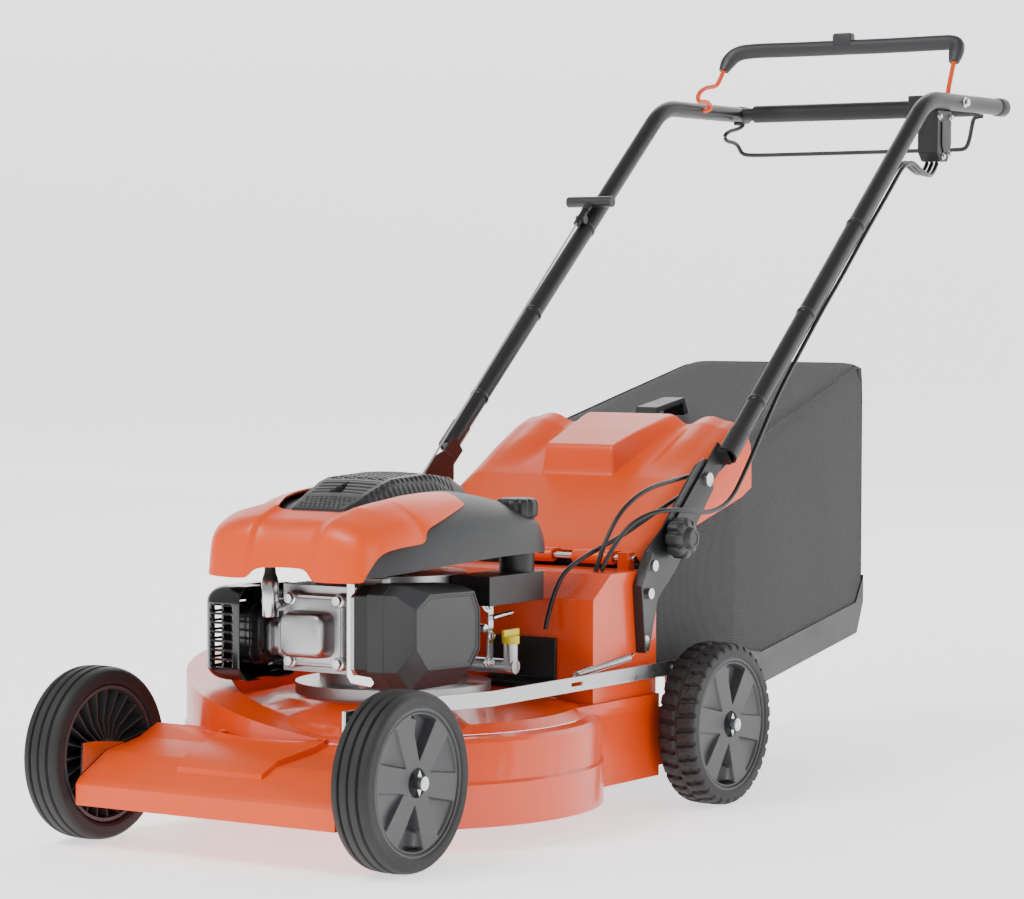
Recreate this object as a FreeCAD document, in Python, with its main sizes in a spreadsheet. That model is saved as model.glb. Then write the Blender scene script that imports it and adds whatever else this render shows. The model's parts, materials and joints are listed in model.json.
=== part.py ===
import FreeCAD, Part
import math
import os
import re
import Sketcher

# A walk-behind lawn mower with a petrol engine, driven rear wheels and a rear grass bag.
# Millimetres. +Z is up, the front of the mower faces -Y, and +X is the operator's left.
# The origin is on the ground, below the middle of the whole mower.

V = FreeCAD.Vector
doc = FreeCAD.newDocument("LawnMower")

# ---------------------------------------------------------------- driving dimensions

SIZES = [
    ("front_y", -738, "front axle, along Y from the origin"),
    ("wheel_base", 672, "front axle to rear axle"),
    ("wheel_radius", 105, "outer radius of all four tyres"),
    ("rim_radius", 87, "visible outer radius of a rim"),
    ("tyre_seat", 82, "radius on which a tyre sits"),
    ("tyre_width", 52, "width of a front tyre"),
    ("rear_tyre_width", 53, "width of a rear tyre"),
    ("front_tyre_x", 226, "middle of a front tyre"),
    ("rear_tyre_x", 251.5, "middle of a rear tyre"),
    ("web_wall", 6, "thickness of a rim's web"),
    ("hub_radius", 18, "radius of a wheel hub"),
    ("axle_radius", 6, "radius of the front and rear axle rods"),
    ("run_gap", 0.05, "radial clearance of a running fit"),
    ("free_gap", 0.4, "clearance between parts that pass each other"),
    ("nut_radius", 8, "radius across the flats of an axle nut"),
    ("arm_reach", 55, "axle behind the pivot of its arm"),
    ("arm_drop", 25, "arm pivot below the axle"),
    ("arm_rise", 100, "link pin above the arm pivot"),
    ("plate", 3, "thickness of steel plates, arms and the link bar"),
    ("front_arm_x", 191, "inner face of the front arms"),
    ("rear_arm_x", 214, "inner face of the rear arms"),
    ("bar_height", 18, "height of the link bar"),
    ("deck_radius", 263, "outer radius of the round deck"),
    ("deck_back", 305, "crankshaft axis behind the front axle"),
    ("skirt_low", 30, "bottom edge of the deck above the ground"),
    ("bead_top", 84, "top of the deck's lower band"),
    ("ledge_top", 130, "top of the deck's upright wall"),
    ("deck_top", 165, "platform that carries the engine"),
    ("deck_wall", 3, "wall of the deck and its rear housing"),
    ("platform_radius", 150, "radius of the flat engine platform"),
    ("shaft_hole", 45, "radius of the hole in the platform"),
    ("box_half", 210, "outer half width of the deck's rear box"),
    ("box_end", 600, "rear end of the box behind the front axle"),
    ("housing_half", 205, "outer half width of the upper rear housing"),
    ("housing_front", 447, "front face of the rear housing behind the front axle"),
    ("hinge_y", 569, "flap hinge behind the front axle"),
    ("hinge_z", 322, "flap hinge above the ground"),
    ("hinge_radius", 4, "radius of the flap rod"),
    ("flap_half", 192, "outer half width of the flap, skirts included"),
    ("chute_half", 150, "half width of the discharge opening"),
    ("chute_low", 162, "bottom of the discharge opening"),
    ("chute_high", 296, "top of the discharge opening"),
    ("bumper_half", 190, "half width of the front bumper"),
    ("bumper_wall", 3, "wall of the front bumper"),
    ("crank_radius", 12.5, "radius of the crankshaft"),
    ("crank_throw", 25, "crank pin off the crankshaft axis"),
    ("web_radius", 48, "radius of the crank webs"),
    ("case_radius", 92, "radius of the crankcase"),
    ("flange_radius", 122, "radius of the engine's mounting flange"),
    ("case_high", 150, "top of the crankcase above the platform"),
    ("barrel_z", 88, "cylinder axis above the platform"),
    ("bore_radius", 33, "radius of the cylinder bore"),
    ("head_y", 155, "joint of the head and the valve cover, ahead of the crankshaft"),
    ("cover_depth", 34, "depth of the valve cover"),
    ("cover_half", 42, "half width of the valve cover"),
    ("cover_tall", 88, "height of the valve cover"),
    ("flywheel_radius", 78, "radius of the flywheel"),
    ("blade_length", 500, "tip to tip length of the blade"),
    ("blade_width", 55, "width of the blade"),
    ("blade_low", 50, "underside of the blade above the ground"),
    ("pulley_z", 141, "underside of the drive pulleys"),
    ("pulley_small", 24, "radius of the crankshaft's pulley groove"),
    ("pulley_large", 44, "radius of the gearbox's pulley groove"),
    ("belt_tall", 10, "height of the drive belt"),
    ("belt_wall", 6, "thickness of the drive belt"),
    ("gearbox_x", 95, "gearbox input shaft, along X"),
    ("tube_radius", 12.5, "outer radius of the handle tube"),
    ("tube_wall", 1.6, "wall of the handle tube"),
    ("handle_half", 222.5, "middle of a handle leg, along X"),
    ("fold_y", 715, "handle pivot behind the front axle"),
    ("fold_z", 418, "handle pivot above the ground"),
    ("leg_angle", 40.6, "slope of the legs above the horizontal"),
    ("leg_start", 46, "lower end of the tube from the pivot, along the leg"),
    ("leg_corner", 810, "corner between leg and arm from the pivot, along the leg"),
    ("bend_radius", 95, "centre line radius of the bend above a leg"),
    ("arm_end", 1589, "rear end of the handle arms behind the front axle"),
    ("bar_y", 1564, "cross bar behind the front axle"),
    ("grip_radius", 13.5, "radius of the cross bar's sleeve"),
    ("knob_reach", 110, "clamp knob below the pivot, along the leg"),
    ("knob_radius", 27, "radius over the knob's lobes"),
    ("bail_radius", 3.5, "radius of the brake bail's rod"),
    ("bail_pivot_y", 1432, "brake bail pivot behind the front axle"),
    ("bail_reach_y", 58, "brake bail grip behind its pivot"),
    ("bail_reach_z", 96, "brake bail grip above its pivot"),
    ("drive_rod", 3, "radius of the drive bail's rod"),
    ("drive_pivot_y", 1536, "drive bail pivot behind the front axle"),
    ("rope_radius", 1.6, "radius of the starter rope"),
    ("cable_radius", 3, "radius of a control cable"),
    ("bag_half", 188, "half width of the bag at its mouth"),
    ("bag_rear_half", 142, "half width of the bag at its rear"),
    ("bag_mouth", 606, "mouth of the bag behind the front axle"),
    ("bag_end", 1296, "rear of the bag behind the front axle"),
]

sheet = doc.addObject("Spreadsheet::Sheet", "Sizes")
ALIASES = set()
for row, (alias, number, meaning) in enumerate(SIZES, start=1):
    sheet.set("A%d" % row, str(number))
    sheet.setAlias("A%d" % row, alias)
    sheet.set("B%d" % row, meaning)
    ALIASES.add(alias)
doc.recompute()


def bound(text):
    """Write the sheet's name before each size that an expression uses."""
    def named(word):
        return "Sizes." + word.group() if word.group() in ALIASES else word.group()
    return re.sub(r"[a-z][a-z0-9_]*", named, str(text))


def val(text):
    """The number, in millimetres or degrees, that an expression gives now."""
    return float(sheet.evalExpression(bound(text)))


def tie(thing, slot, text):
    """Bind one property of an object to an expression of the sizes."""
    thing.setExpression(slot, bound(text))


def place(thing, where):
    """Bind an object's position to three expressions."""
    for letter, text in zip("xyz", where):
        tie(thing, "Placement.Base." + letter, text)
    return thing


# Places along the mower: behind the front axle, and around the engine.

def back(distance):
    return "(front_y + %s)" % distance


def engine_y(distance):
    return "(front_y + deck_back + %s)" % distance


def engine_z(height):
    return "(deck_top + %s)" % height


REAR = "(front_y + wheel_base)"
CRANK = "(front_y + deck_back)"

TURNS = {
    "x": FreeCAD.Rotation(V(0, 1, 0), 90),
    "y": FreeCAD.Rotation(V(1, 0, 0), -90),
    "z": FreeCAD.Rotation(),
}

# ---------------------------------------------------------------- building blocks


def box(name, corner, size):
    """A box from its lowest corner and its three edge lengths."""
    made = doc.addObject("Part::Box", name)
    for slot, text in zip(("Length", "Width", "Height"), size):
        tie(made, slot, text)
    return place(made, corner)


def rod(name, start, length, radius, along="z"):
    """A cylinder that starts at a point and runs along +X, +Y or +Z."""
    made = doc.addObject("Part::Cylinder", name)
    made.Placement = FreeCAD.Placement(V(), TURNS[along])
    tie(made, "Radius", radius)
    tie(made, "Height", length)
    return place(made, start)


def cut(name, base, *tools):
    """The base with every tool taken out of it."""
    tool = tools[0] if len(tools) == 1 else fuse(name + "_tools", *tools)
    made = doc.addObject("Part::Cut", name)
    made.Base = base
    made.Tool = tool
    return made


def fuse(name, *pieces):
    """One solid out of several that meet."""
    made = doc.addObject("Part::MultiFuse", name)
    made.Shapes = list(pieces)
    return made


def common(name, *pieces):
    """What several solids share."""
    made = doc.addObject("Part::MultiCommon", name)
    made.Shapes = list(pieces)
    return made


def group(name, *pieces):
    """Several separate solids in one sub-part."""
    made = doc.addObject("Part::Compound", name)
    made.Links = list(pieces)
    return made


def mirror(name, source):
    """The same piece on the other side of the mower."""
    made = doc.addObject("Part::Mirroring", name)
    made.Source = source
    made.Base = V(0, 0, 0)
    made.Normal = V(1, 0, 0)
    return made


def outline(body, plane, points):
    """A closed sketch of straight lines on one of a body's own planes, bound point by point."""
    sketch = body.newObject("Sketcher::SketchObject", body.Name + "_sketch")
    for feature in body.Origin.OriginFeatures:
        if feature.Role == plane:
            sketch.AttachmentSupport = (feature, [""])
    sketch.MapMode = "FlatFace"
    numbers = [(val(a), val(b)) for a, b in points]
    count = len(numbers)
    for i in range(count):
        first = V(numbers[i][0], numbers[i][1], 0)
        second = V(numbers[(i + 1) % count][0], numbers[(i + 1) % count][1], 0)
        sketch.addGeometry(Part.LineSegment(first, second), False)
    for i in range(count):
        sketch.addConstraint(Sketcher.Constraint("Coincident", i, 2, (i + 1) % count, 1))
    for i, texts in enumerate(points):
        for kind, text, number in zip(("DistanceX", "DistanceY"), texts, numbers[i]):
            slot = sketch.addConstraint(Sketcher.Constraint(kind, -1, 1, i, 1, number))
            if re.search("[a-z]", str(text)):
                tie(sketch, "Constraints[%d]" % slot, text)
    return sketch


def turned(name, points, centre, along="z"):
    """A body of revolution: points are (radius, distance along the axis) from the centre."""
    body = doc.addObject("PartDesign::Body", name)
    sketch = outline(body, "XZ_Plane", points)
    turn = body.newObject("PartDesign::Revolution", name + "_turn")
    turn.Profile = sketch
    turn.ReferenceAxis = (sketch, ["V_Axis"])
    turn.Angle = 360
    body.Placement = FreeCAD.Placement(V(), TURNS[along])
    return place(body, centre)


def slab(name, points, start, width):
    """A plate across X: points are (y, z) corners, start is its lowest X and width its thickness."""
    body = doc.addObject("PartDesign::Body", name)
    sketch = outline(body, "YZ_Plane", points)
    pad = body.newObject("PartDesign::Pad", name + "_pad")
    pad.Profile = sketch
    tie(pad, "Length", width)
    return place(body, (start, "0", "0"))


def sheetmetal(name, points, start, thick):
    """A plate across Z: points are (x, y) corners, start is its lowest Z and thick its height."""
    body = doc.addObject("PartDesign::Body", name)
    sketch = outline(body, "XY_Plane", points)
    pad = body.newObject("PartDesign::Pad", name + "_pad")
    pad.Profile = sketch
    tie(pad, "Length", thick)
    return place(body, ("0", "0", start))


def feature(name, shape):
    """A sub-part whose shape is worked out here from the sheet's sizes."""
    made = doc.addObject("Part::Feature", name)
    made.Shape = shape
    made.Placement = FreeCAD.Placement()
    return made


def point(x, y, z):
    """A point from three expressions."""
    return V(val(x), val(y), val(z))


def path_wire(points, radii):
    """Straight runs joined by tangent arcs; radii has one value for each inner point."""
    edges = []
    start = points[0]
    for i in range(1, len(points) - 1):
        before = (points[i - 1] - points[i]).normalize()
        after = (points[i + 1] - points[i]).normalize()
        half = before.getAngle(after) / 2
        reach = radii[i - 1] / math.tan(half)
        enter = points[i] + before * reach
        leave = points[i] + after * reach
        middle_way = (before + after).normalize()
        centre = points[i] + middle_way * (radii[i - 1] / math.sin(half))
        middle = centre - middle_way * radii[i - 1]
        if (enter - start).Length > 1e-6:
            edges.append(Part.LineSegment(start, enter).toShape())
        edges.append(Part.Arc(enter, middle, leave).toShape())
        start = leave
    edges.append(Part.LineSegment(start, points[-1]).toShape())
    return Part.Wire(edges)


def swept(points, radii, radius):
    """A round bar along a path of straight runs and tangent arcs."""
    wire = path_wire(points, radii)
    way = (points[1] - points[0]).normalize()
    ring = Part.Wire([Part.makeCircle(radius, points[0], way)])
    solid = wire.makePipeShell([ring], True, False)
    expected = wire.Length * math.pi * radius ** 2
    if abs(solid.Volume - expected) > 0.02 * expected:
        raise ValueError("a bar's volume doesn't match its length")
    return solid


def cable_radii(points):
    """Arcs as large as the two runs beside each point allow."""
    radii = []
    for i in range(1, len(points) - 1):
        before = points[i - 1] - points[i]
        after = points[i + 1] - points[i]
        turn = math.pi - before.getAngle(after)
        radii.append(0.45 * min(before.Length, after.Length) / math.tan(turn / 2))
    return radii


def cable(name, route):
    """A control cable: a round tube along a hand-chosen route, measured behind the front axle."""
    points = [point(x, back(y), z) for x, y, z in route]
    radii = cable_radii(points)
    print(name, "arc radii:", [round(r) for r in radii])
    return feature(name, swept(points, radii, val("cable_radius")))


NODES = {}


def node(name, thing):
    """Name a finished sub-part; its label is its file's name."""
    thing.Label = name
    NODES[name] = thing
    return thing


# ---------------------------------------------------------------- wheels

def tyre(name, x, y, width, grooves):
    """A tyre on the rim's seat, with grooves around the tread."""
    half = "%s / 2" % width
    tread = "wheel_radius"
    ring = turned(name + "_ring", [
        ("tyre_seat", "-%s + 4" % half),
        ("rim_radius + 1", "-%s" % half),
        ("%s - 9" % tread, "-%s" % half),
        (tread, "-%s + 7" % half),
        (tread, "%s - 7" % half),
        ("%s - 9" % tread, half),
        ("rim_radius + 1", half),
        ("tyre_seat", "%s - 4" % half),
    ], (x, y, "wheel_radius"), "x")
    cuts = []
    for number, offset in enumerate(grooves):
        cuts.append(turned("%s_groove%d" % (name, number), [
            ("%s - 4" % tread, "%s - 1.4" % offset),
            ("%s + 2" % tread, "%s - 1.8" % offset),
            ("%s + 2" % tread, "%s + 1.8" % offset),
            ("%s - 4" % tread, "%s + 1.4" % offset),
        ], (x, y, "wheel_radius"), "x"))
    return node(name, cut(name + "_cut", ring, *cuts) if cuts else ring)


def rim(name, x, y, width, side):
    """A moulded rim: hub, dished web with windows between seven spokes, and outer ring."""
    half = "%s / 2" % width
    out = "(%s - 3) * %d" % (half, side)
    inn = "(%s - 4) * %d" % (half, -side)
    web = "web_wall * %d" % side
    body = turned(name + "_body", [
        ("axle_radius + run_gap", out + " - (%d)" % (6 * side)),
        ("hub_radius - 4", out + " - (%d)" % (6 * side)),
        ("hub_radius", out),
        ("rim_radius - 6", out),
        ("rim_radius - 1", out + " + (%d)" % (2 * side)),
        ("tyre_seat", out + " - (%d)" % (1 * side)),
        ("tyre_seat", inn),
        ("tyre_seat - 4", inn),
        ("tyre_seat - 4", out + " - " + web),
        ("hub_radius", out + " - " + web),
        ("hub_radius", inn),
        ("axle_radius + run_gap", inn),
    ], (x, y, "wheel_radius"), "x")
    return node(name, body)


WHEELS = [
    ("front_left", 1, "front_tyre_x", "front_y", "tyre_width", ("-12", "0", "12")),
    ("front_right", -1, "-front_tyre_x", "front_y", "tyre_width", ("-12", "0", "12")),
    ("rear_left", 1, "rear_tyre_x", REAR, "rear_tyre_width", ("0",)),
    ("rear_right", -1, "-rear_tyre_x", REAR, "rear_tyre_width", ("0",)),
]
for corner, side, x, y, width, grooves in WHEELS:
    tyre(corner + "_tyre", x, y, width, grooves)
    rim(corner + "_rim", x, y, width, side)

# ---------------------------------------------------------------- axles and height adjustment


def axle(name, y, tyre_x, width, arm_x):
    """A welded axle: the rod through both wheels, an arm on each side and the end nuts."""
    reach = "(%s + %s / 2 + 8)" % (tyre_x, width)
    shaft = rod(name + "_rod", ("-" + reach, y, "wheel_radius"), "2 * " + reach, "axle_radius", "x")
    pivot_y = "(%s - arm_reach)" % y
    pivot_z = "(wheel_radius - arm_drop)"
    low = [
        (pivot_y + " - 11", pivot_z + " - 9"),
        (pivot_y + " + 8", pivot_z + " - 12"),
        (y + " + 12", "wheel_radius - 12"),
        (y + " + 12", "wheel_radius + 14"),
        (pivot_y + " + 12", "wheel_radius + 20"),
    ]
    pin_z = "(%s + arm_rise)" % pivot_z
    left = slab(name + "_arm_left", low + [
        (pivot_y + " + 10", pin_z + " + 9"),
        (pivot_y + " - 10", pin_z + " + 9"),
    ], arm_x, "plate")
    right = slab(name + "_arm_right", low + [
        (pivot_y + " - 8", "wheel_radius + 20"),
    ], "-%s - plate" % arm_x, "plate")
    holes = [rod(name + "_pivot_hole", ("-%s - 10" % arm_x, pivot_y, pivot_z),
                 "2 * (%s + 10)" % arm_x, "axle_radius + run_gap", "x")]
    arms = cut(name + "_arms", fuse(name + "_plates", left, right), *holes)
    nuts = []
    for label, start in (("left", "%s + 0.5" % reach.replace(" + 8", "")),
                         ("right", "-%s - 7.5" % reach.replace(" + 8", ""))):
        nuts.append(rod(name + "_nut_" + label, (start, y, "wheel_radius"), "7", "nut_radius", "x"))
    pin = rod(name + "_link_pin", (arm_x + " + plate", pivot_y, pin_z), "free_gap + plate + 2", "4", "x")
    return fuse(name + "_welded", shaft, arms, pin, *nuts)


node("front_axle", axle("front", "front_y", "front_tyre_x", "tyre_width", "front_arm_x"))

ARM_Z = "(wheel_radius - arm_drop)"
PIN_Z = "(wheel_radius - arm_drop + arm_rise)"
FRONT_PIVOT = "(front_y - arm_reach)"
REAR_PIVOT = "(front_y + wheel_base - arm_reach)"

# The link bar is flat steel: beside the front arm it lies inboard of the wheel, then it bends
# outwards over the deck and runs back along the outside of the rear housing.
BAR_IN = "(front_arm_x + plate + free_gap)"
BAR_OUT = "(rear_arm_x + plate + free_gap)"
bar = sheetmetal("link_flat", [
    (BAR_IN, FRONT_PIVOT + " - 12"),
    (BAR_IN + " + plate", FRONT_PIVOT + " - 12"),
    (BAR_IN + " + plate", back(128)),
    (BAR_OUT + " + plate", back(196)),
    (BAR_OUT + " + plate", REAR_PIVOT + " + 12"),
    (BAR_OUT, REAR_PIVOT + " + 12"),
    (BAR_OUT, back(198)),
    (BAR_IN, back(130)),
], PIN_Z + " - bar_height / 2", "bar_height")
bar_slot = box("link_slot", (BAR_OUT + " - 5", back(372), PIN_Z + " - 2.5"), ("15", "26", "5"))
bar_pins = [
    rod("link_pin_hole_front", (BAR_IN + " - 5", FRONT_PIVOT, PIN_Z), "12", "4 + run_gap", "x"),
    rod("link_pin_hole_rear", (BAR_OUT + " - 5", REAR_PIVOT, PIN_Z), "12", "4 + run_gap", "x"),
]
node("link_bar", cut("link_cut", bar, bar_slot, *bar_pins))

# The height lever is riveted to the right arm of the rear axle.
lever_plate = slab("lever_plate", [
    (REAR_PIVOT + " - 14", ARM_Z + " + 10"),
    (REAR_PIVOT + " + 14", ARM_Z + " + 10"),
    (REAR_PIVOT + " - 6", "262"),
    (REAR_PIVOT + " - 24", "262"),
], "-rear_arm_x - 2 * plate", "plate")
lever_grip = box("lever_grip", ("-rear_arm_x - 2 * plate - 1.5", REAR_PIVOT + " - 28", "262"),
                 ("plate + 3", "26", "52"))
node("rear_axle", fuse("rear_axle_lever", axle("rear", REAR, "rear_tyre_x", "rear_tyre_width", "rear_arm_x"),
                       lever_plate, lever_grip))

# ---------------------------------------------------------------- deck

outer = turned("deck_outer", [
    ("0", "skirt_low"),
    ("deck_radius", "skirt_low"),
    ("deck_radius", "bead_top - 3"),
    ("deck_radius - 4", "bead_top"),
    ("deck_radius - 4", "ledge_top"),
    ("deck_radius - 9", "ledge_top + 5"),
    ("deck_radius - 22", "ledge_top + 8"),
    ("deck_radius - 34", "ledge_top + 19"),
    ("platform_radius + 8", "deck_top - 4"),
    ("platform_radius", "deck_top"),
    ("0", "deck_top"),
], ("0", CRANK, "0"))
inner = turned("deck_inner", [
    ("0", "skirt_low - 5"),
    ("deck_radius - deck_wall", "skirt_low - 5"),
    ("deck_radius - deck_wall", "bead_top - 4"),
    ("deck_radius - 4 - deck_wall", "bead_top - 1"),
    ("deck_radius - 4 - deck_wall", "ledge_top - 1"),
    ("deck_radius - 10 - deck_wall", "ledge_top + 3"),
    ("deck_radius - 36", "ledge_top + 16"),
    ("platform_radius + 7", "deck_top - 4 - deck_wall"),
    ("0", "deck_top - deck_wall"),
], ("0", CRANK, "0"))
rear_box = box("deck_rear_box", ("-box_half", CRANK, "skirt_low + 12"),
               ("2 * box_half", "box_end - deck_back", "148 - skirt_low - 12"))
rear_ears = box("deck_ears", ("-box_half", back("box_end - 1"), "skirt_low + 25"),
                ("2 * box_half", "42", "75"))
box_inner = box("deck_box_inner", ("-box_half + deck_wall", CRANK, "skirt_low - 5"),
                ("2 * (box_half - deck_wall)", "box_end - deck_back + 60", "148 - deck_wall - skirt_low + 5"))
tunnel_gap = box("deck_tunnel_gap", ("-housing_half + 8", back("housing_front + 6"), "120"),
                 ("2 * (housing_half - 8)", "box_end - housing_front + 60", "60"))
shaft_gap = rod("deck_shaft_gap", ("0", CRANK, "deck_top - 60"), "80", "shaft_hole")

# The blade's air is led round the right-hand side under a channel that rises towards the rear.
rise = turned("channel_ring", [
    ("platform_radius + 52", "deck_top - 30"),
    ("deck_radius - 6", "deck_top - 45"),
    ("deck_radius - 6", "deck_top + 50"),
    ("platform_radius + 52", "deck_top + 50"),
], ("0", CRANK, "0"))
rise_inner = turned("channel_ring_inner", [
    ("platform_radius + 52 + deck_wall", "deck_top - 60"),
    ("deck_radius - 6 - deck_wall", "deck_top - 60"),
    ("deck_radius - 6 - deck_wall", "deck_top + 60"),
    ("platform_radius + 52 + deck_wall", "deck_top + 60"),
], ("0", CRANK, "0"))


def leaning(name, low):
    """A large block below the channel's sloping roof, lowered by a wall's thickness."""
    made = box(name, ("-400", "-400", "-600"), ("800", "800", "600"))
    made.Placement.Rotation = FreeCAD.Rotation(V(0, 1, 0), 10.5).multiply(FreeCAD.Rotation(V(1, 0, 0), 3.5))
    corner = made.Placement.Rotation.multVec(V(-400, -400, -600))
    place(made, (str(round(corner.x, 4)), "%s + %s" % (CRANK, round(corner.y, 4)),
                 "deck_top - %s + %s" % (low, round(corner.z, 4))))
    return made


channel = common("channel_solid", rise, leaning("channel_roof", "1"))
channel_gap = common("channel_gap", rise_inner, leaning("channel_roof_inner", "(1 + deck_wall)"))
channel_limit = box("channel_front_limit", ("-300", back("deck_back - 300"), "0"),
                    ("600", "442 - deck_back + 300", "400"))
node("deck_shell", cut("deck_cut", fuse("deck_solid", outer, rear_box, rear_ears,
                                        common("channel_trimmed", channel, channel_limit)),
                       fuse("deck_space", inner, box_inner, channel_gap), tunnel_gap, shaft_gap))

# ---------------------------------------------------------------- rear housing and flap

housing_outer = slab("housing_outer", [
    (back("housing_front"), "148"),
    (back("housing_front"), "278"),
    (back("housing_front + 42"), "308"),
    (back("hinge_y + 6"), "308"),
    (back("box_end"), "300"),
    (back("box_end"), "148"),
], "-housing_half", "2 * housing_half")
housing_inner = slab("housing_inner", [
    (back("housing_front + deck_wall"), "100"),
    (back("housing_front + deck_wall"), "276"),
    (back("housing_front + 43"), "308 - deck_wall"),
    (back("hinge_y + 5"), "308 - deck_wall"),
    (back("box_end - deck_wall"), "298"),
    (back("box_end - deck_wall"), "100"),
], "-housing_half + deck_wall", "2 * (housing_half - deck_wall)")
chute = box("chute_gap", ("-chute_half", back("box_end - 20"), "chute_low"),
            ("2 * chute_half", "40", "chute_high - chute_low"))
cable_hole = rod("cable_hole", ("170", back(512), "295"), "30", "9", "z")
belt_gap = box("belt_gap", ("-45", back("housing_front - 10"), "pulley_z - 4"),
               ("gearbox_x + pulley_large + 12 + 45", "box_end - housing_front + 30", "belt_tall + 8"))
lugs = []
for number, x in enumerate(("-186", "-8", "170")):
    lugs.append(box("hinge_lug%d" % number, (x, back("hinge_y - 8"), "306"),
                    ("16", "16", "hinge_z + 8 - 306")))
rod_hole = rod("hinge_hole", ("-250", back("hinge_y"), "hinge_z"), "500", "hinge_radius", "x")
housing_shell = cut("housing_shell", housing_outer, housing_inner)
housing_solid = fuse("housing_solid", housing_shell, *lugs)
node("rear_housing", cut("housing_cut", housing_solid, chute, cable_hole, belt_gap, rod_hole, outer, channel))
flap_rod = rod("flap_rod", ("-192", back("hinge_y"), "hinge_z"), "384", "hinge_radius", "x")

flap_panel = slab("flap_panel", [
    (back("hinge_y + 16"), "hinge_z + 3"),
    (back("hinge_y + 30"), "hinge_z + 9"),
    (back(733), "412.5"),
    (back(851), "473.5"),
    (back(852), "479"),
    (back(731), "417"),
    (back("hinge_y + 24"), "hinge_z + 11"),
], "-flap_half", "2 * flap_half")
flap_skirt = slab("flap_skirt", [
    (back("hinge_y + 28"), "hinge_z + 1"),
    (back(838), "386"),
    (back(852), "396"),
    (back(852), "479"),
    (back(731), "417"),
    (back("hinge_y + 24"), "hinge_z + 11"),
], "flap_half - 3", "3")


def hump(inset):
    """The flap's raised middle, lofted from its steep front to its wide rear edge."""
    stations = []
    for y, low, high, foot, crest in ((737 + inset, 414, 458, 58, 52), (868 + inset, 479, 496, 92, 63)):
        stations.append(Part.makePolygon([
            point(-foot + inset, back(y), low - inset),
            point(-crest + inset, back(y), high - inset),
            point(crest - inset, back(y), high - inset),
            point(foot - inset, back(y), low - inset),
            point(-foot + inset, back(y), low - inset),
        ]))
    return Part.makeLoft(stations, True, True)


flap_hump = feature("flap_hump", hump(0))
flap_space = feature("flap_space", hump(3))
hump_gap = slab("hump_gap", [
    (back(600), "300"),
    (back(600), "hinge_z + 9"),
    (back(733), "412.5"),
    (back(851), "473.5"),
    (back(900), "480"),
    (back(900), "300"),
], "-flap_half + 3", "2 * (flap_half - 3)")
knuckles = []
for number, x in enumerate(("-169", "9", "100")):
    knuckles.append(rod("flap_knuckle%d" % number, (x, back("hinge_y"), "hinge_z"),
                        "60", "hinge_radius + 5", "x"))
    knuckles.append(slab("flap_tongue%d" % number, [
        (back("hinge_y + 2"), "hinge_z + 8"),
        (back("hinge_y + 8"), "hinge_z - 2"),
        (back("hinge_y + 30"), "hinge_z + 4"),
        (back("hinge_y + 26"), "hinge_z + 12"),
    ], x, "60"))
flap_bore = rod("flap_bore", ("-250", back("hinge_y"), "hinge_z"), "500", "hinge_radius + run_gap", "x")
lug_room = []
for number, x in enumerate(("-187", "-9", "169")):
    lug_room.append(box("lug_room%d" % number, (x, back("hinge_y - 12"), "300"), ("18", "24", "40")))
flap_shell = cut("flap_shell", fuse("flap_mass", flap_panel, flap_hump), flap_space, hump_gap)
flap_skirt_right = mirror("flap_skirt_right", flap_skirt)
flap_solid = fuse("flap_solid", flap_shell, flap_skirt, flap_skirt_right, *knuckles)
node("rear_flap", cut("flap_cut", flap_solid, flap_bore, *lug_room))

# ---------------------------------------------------------------- belt cover

node("belt_cover", slab("belt_cover_plate", [
    (back("housing_front - 0"), "172"),
    (back("housing_front - 0"), "228"),
    (back("housing_front - 5"), "228"),
    (back("housing_front - 5"), "178"),
    (back("housing_front - 26"), "deck_top + 8"),
    (back("housing_front - 26"), "deck_top"),
    (back("housing_front - 20"), "deck_top"),
], "52", "100"))

# ---------------------------------------------------------------- front bumper

bumper_outer = slab("bumper_outer", [
    (back(-78), "53"),
    (back(-78), "78"),
    (back(-72), "85"),
    (back(-22), "112"),
    (back(40), "122"),
    (back(75), "136"),
    (back(75), "100"),
    (back(50), "56"),
], "-bumper_half", "2 * bumper_half")
bumper_inner = slab("bumper_inner", [
    (back("-78 + bumper_wall"), "40"),
    (back("-78 + bumper_wall"), "77"),
    (back("-71 + bumper_wall"), "83.5 - bumper_wall"),
    (back(-21), "112 - bumper_wall"),
    (back(41), "122 - bumper_wall"),
    (back(90), "142 - bumper_wall"),
    (back(90), "40"),
], "-bumper_half + bumper_wall", "2 * (bumper_half - bumper_wall)")
pad = sheetmetal("bumper_pad", [
    ("-62", back(-46)), ("62", back(-46)), ("80", back(60)), ("-80", back(60)),
], "85", "60")
pad_roof = slab("pad_roof", [
    (back(-60), "80"), (back(-60), "92"), (back(-46), "105"), (back(-20), "119"), (back(40), "130"),
    (back(70), "141"), (back(70), "80"),
], "-100", "200")
deck_front = turned("bumper_seat", [
    ("0", "0"), ("deck_radius + 0.2", "0"), ("deck_radius + 0.2", "ledge_top + 5"),
    ("deck_radius - 22", "ledge_top + 8.2"), ("deck_radius - 34", "ledge_top + 19.2"), ("0", "deck_top"),
], ("0", CRANK, "0"))
slot_left = box("slot_left", ("bumper_half - 6", "front_y - 9", "40"), ("12", "22", "wheel_radius + 8 - 40"))
slot_right = box("slot_right", ("-bumper_half - 6", "front_y - 9", "40"),
                 ("12", "22", "wheel_radius + 8 - 40"))
node("front_bumper", cut("bumper_cut", fuse("bumper_solid", bumper_outer, common("pad_top", pad, pad_roof)),
                         bumper_inner, deck_front, channel, slot_left, slot_right))

# ---------------------------------------------------------------- handle brackets and bolts

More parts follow.
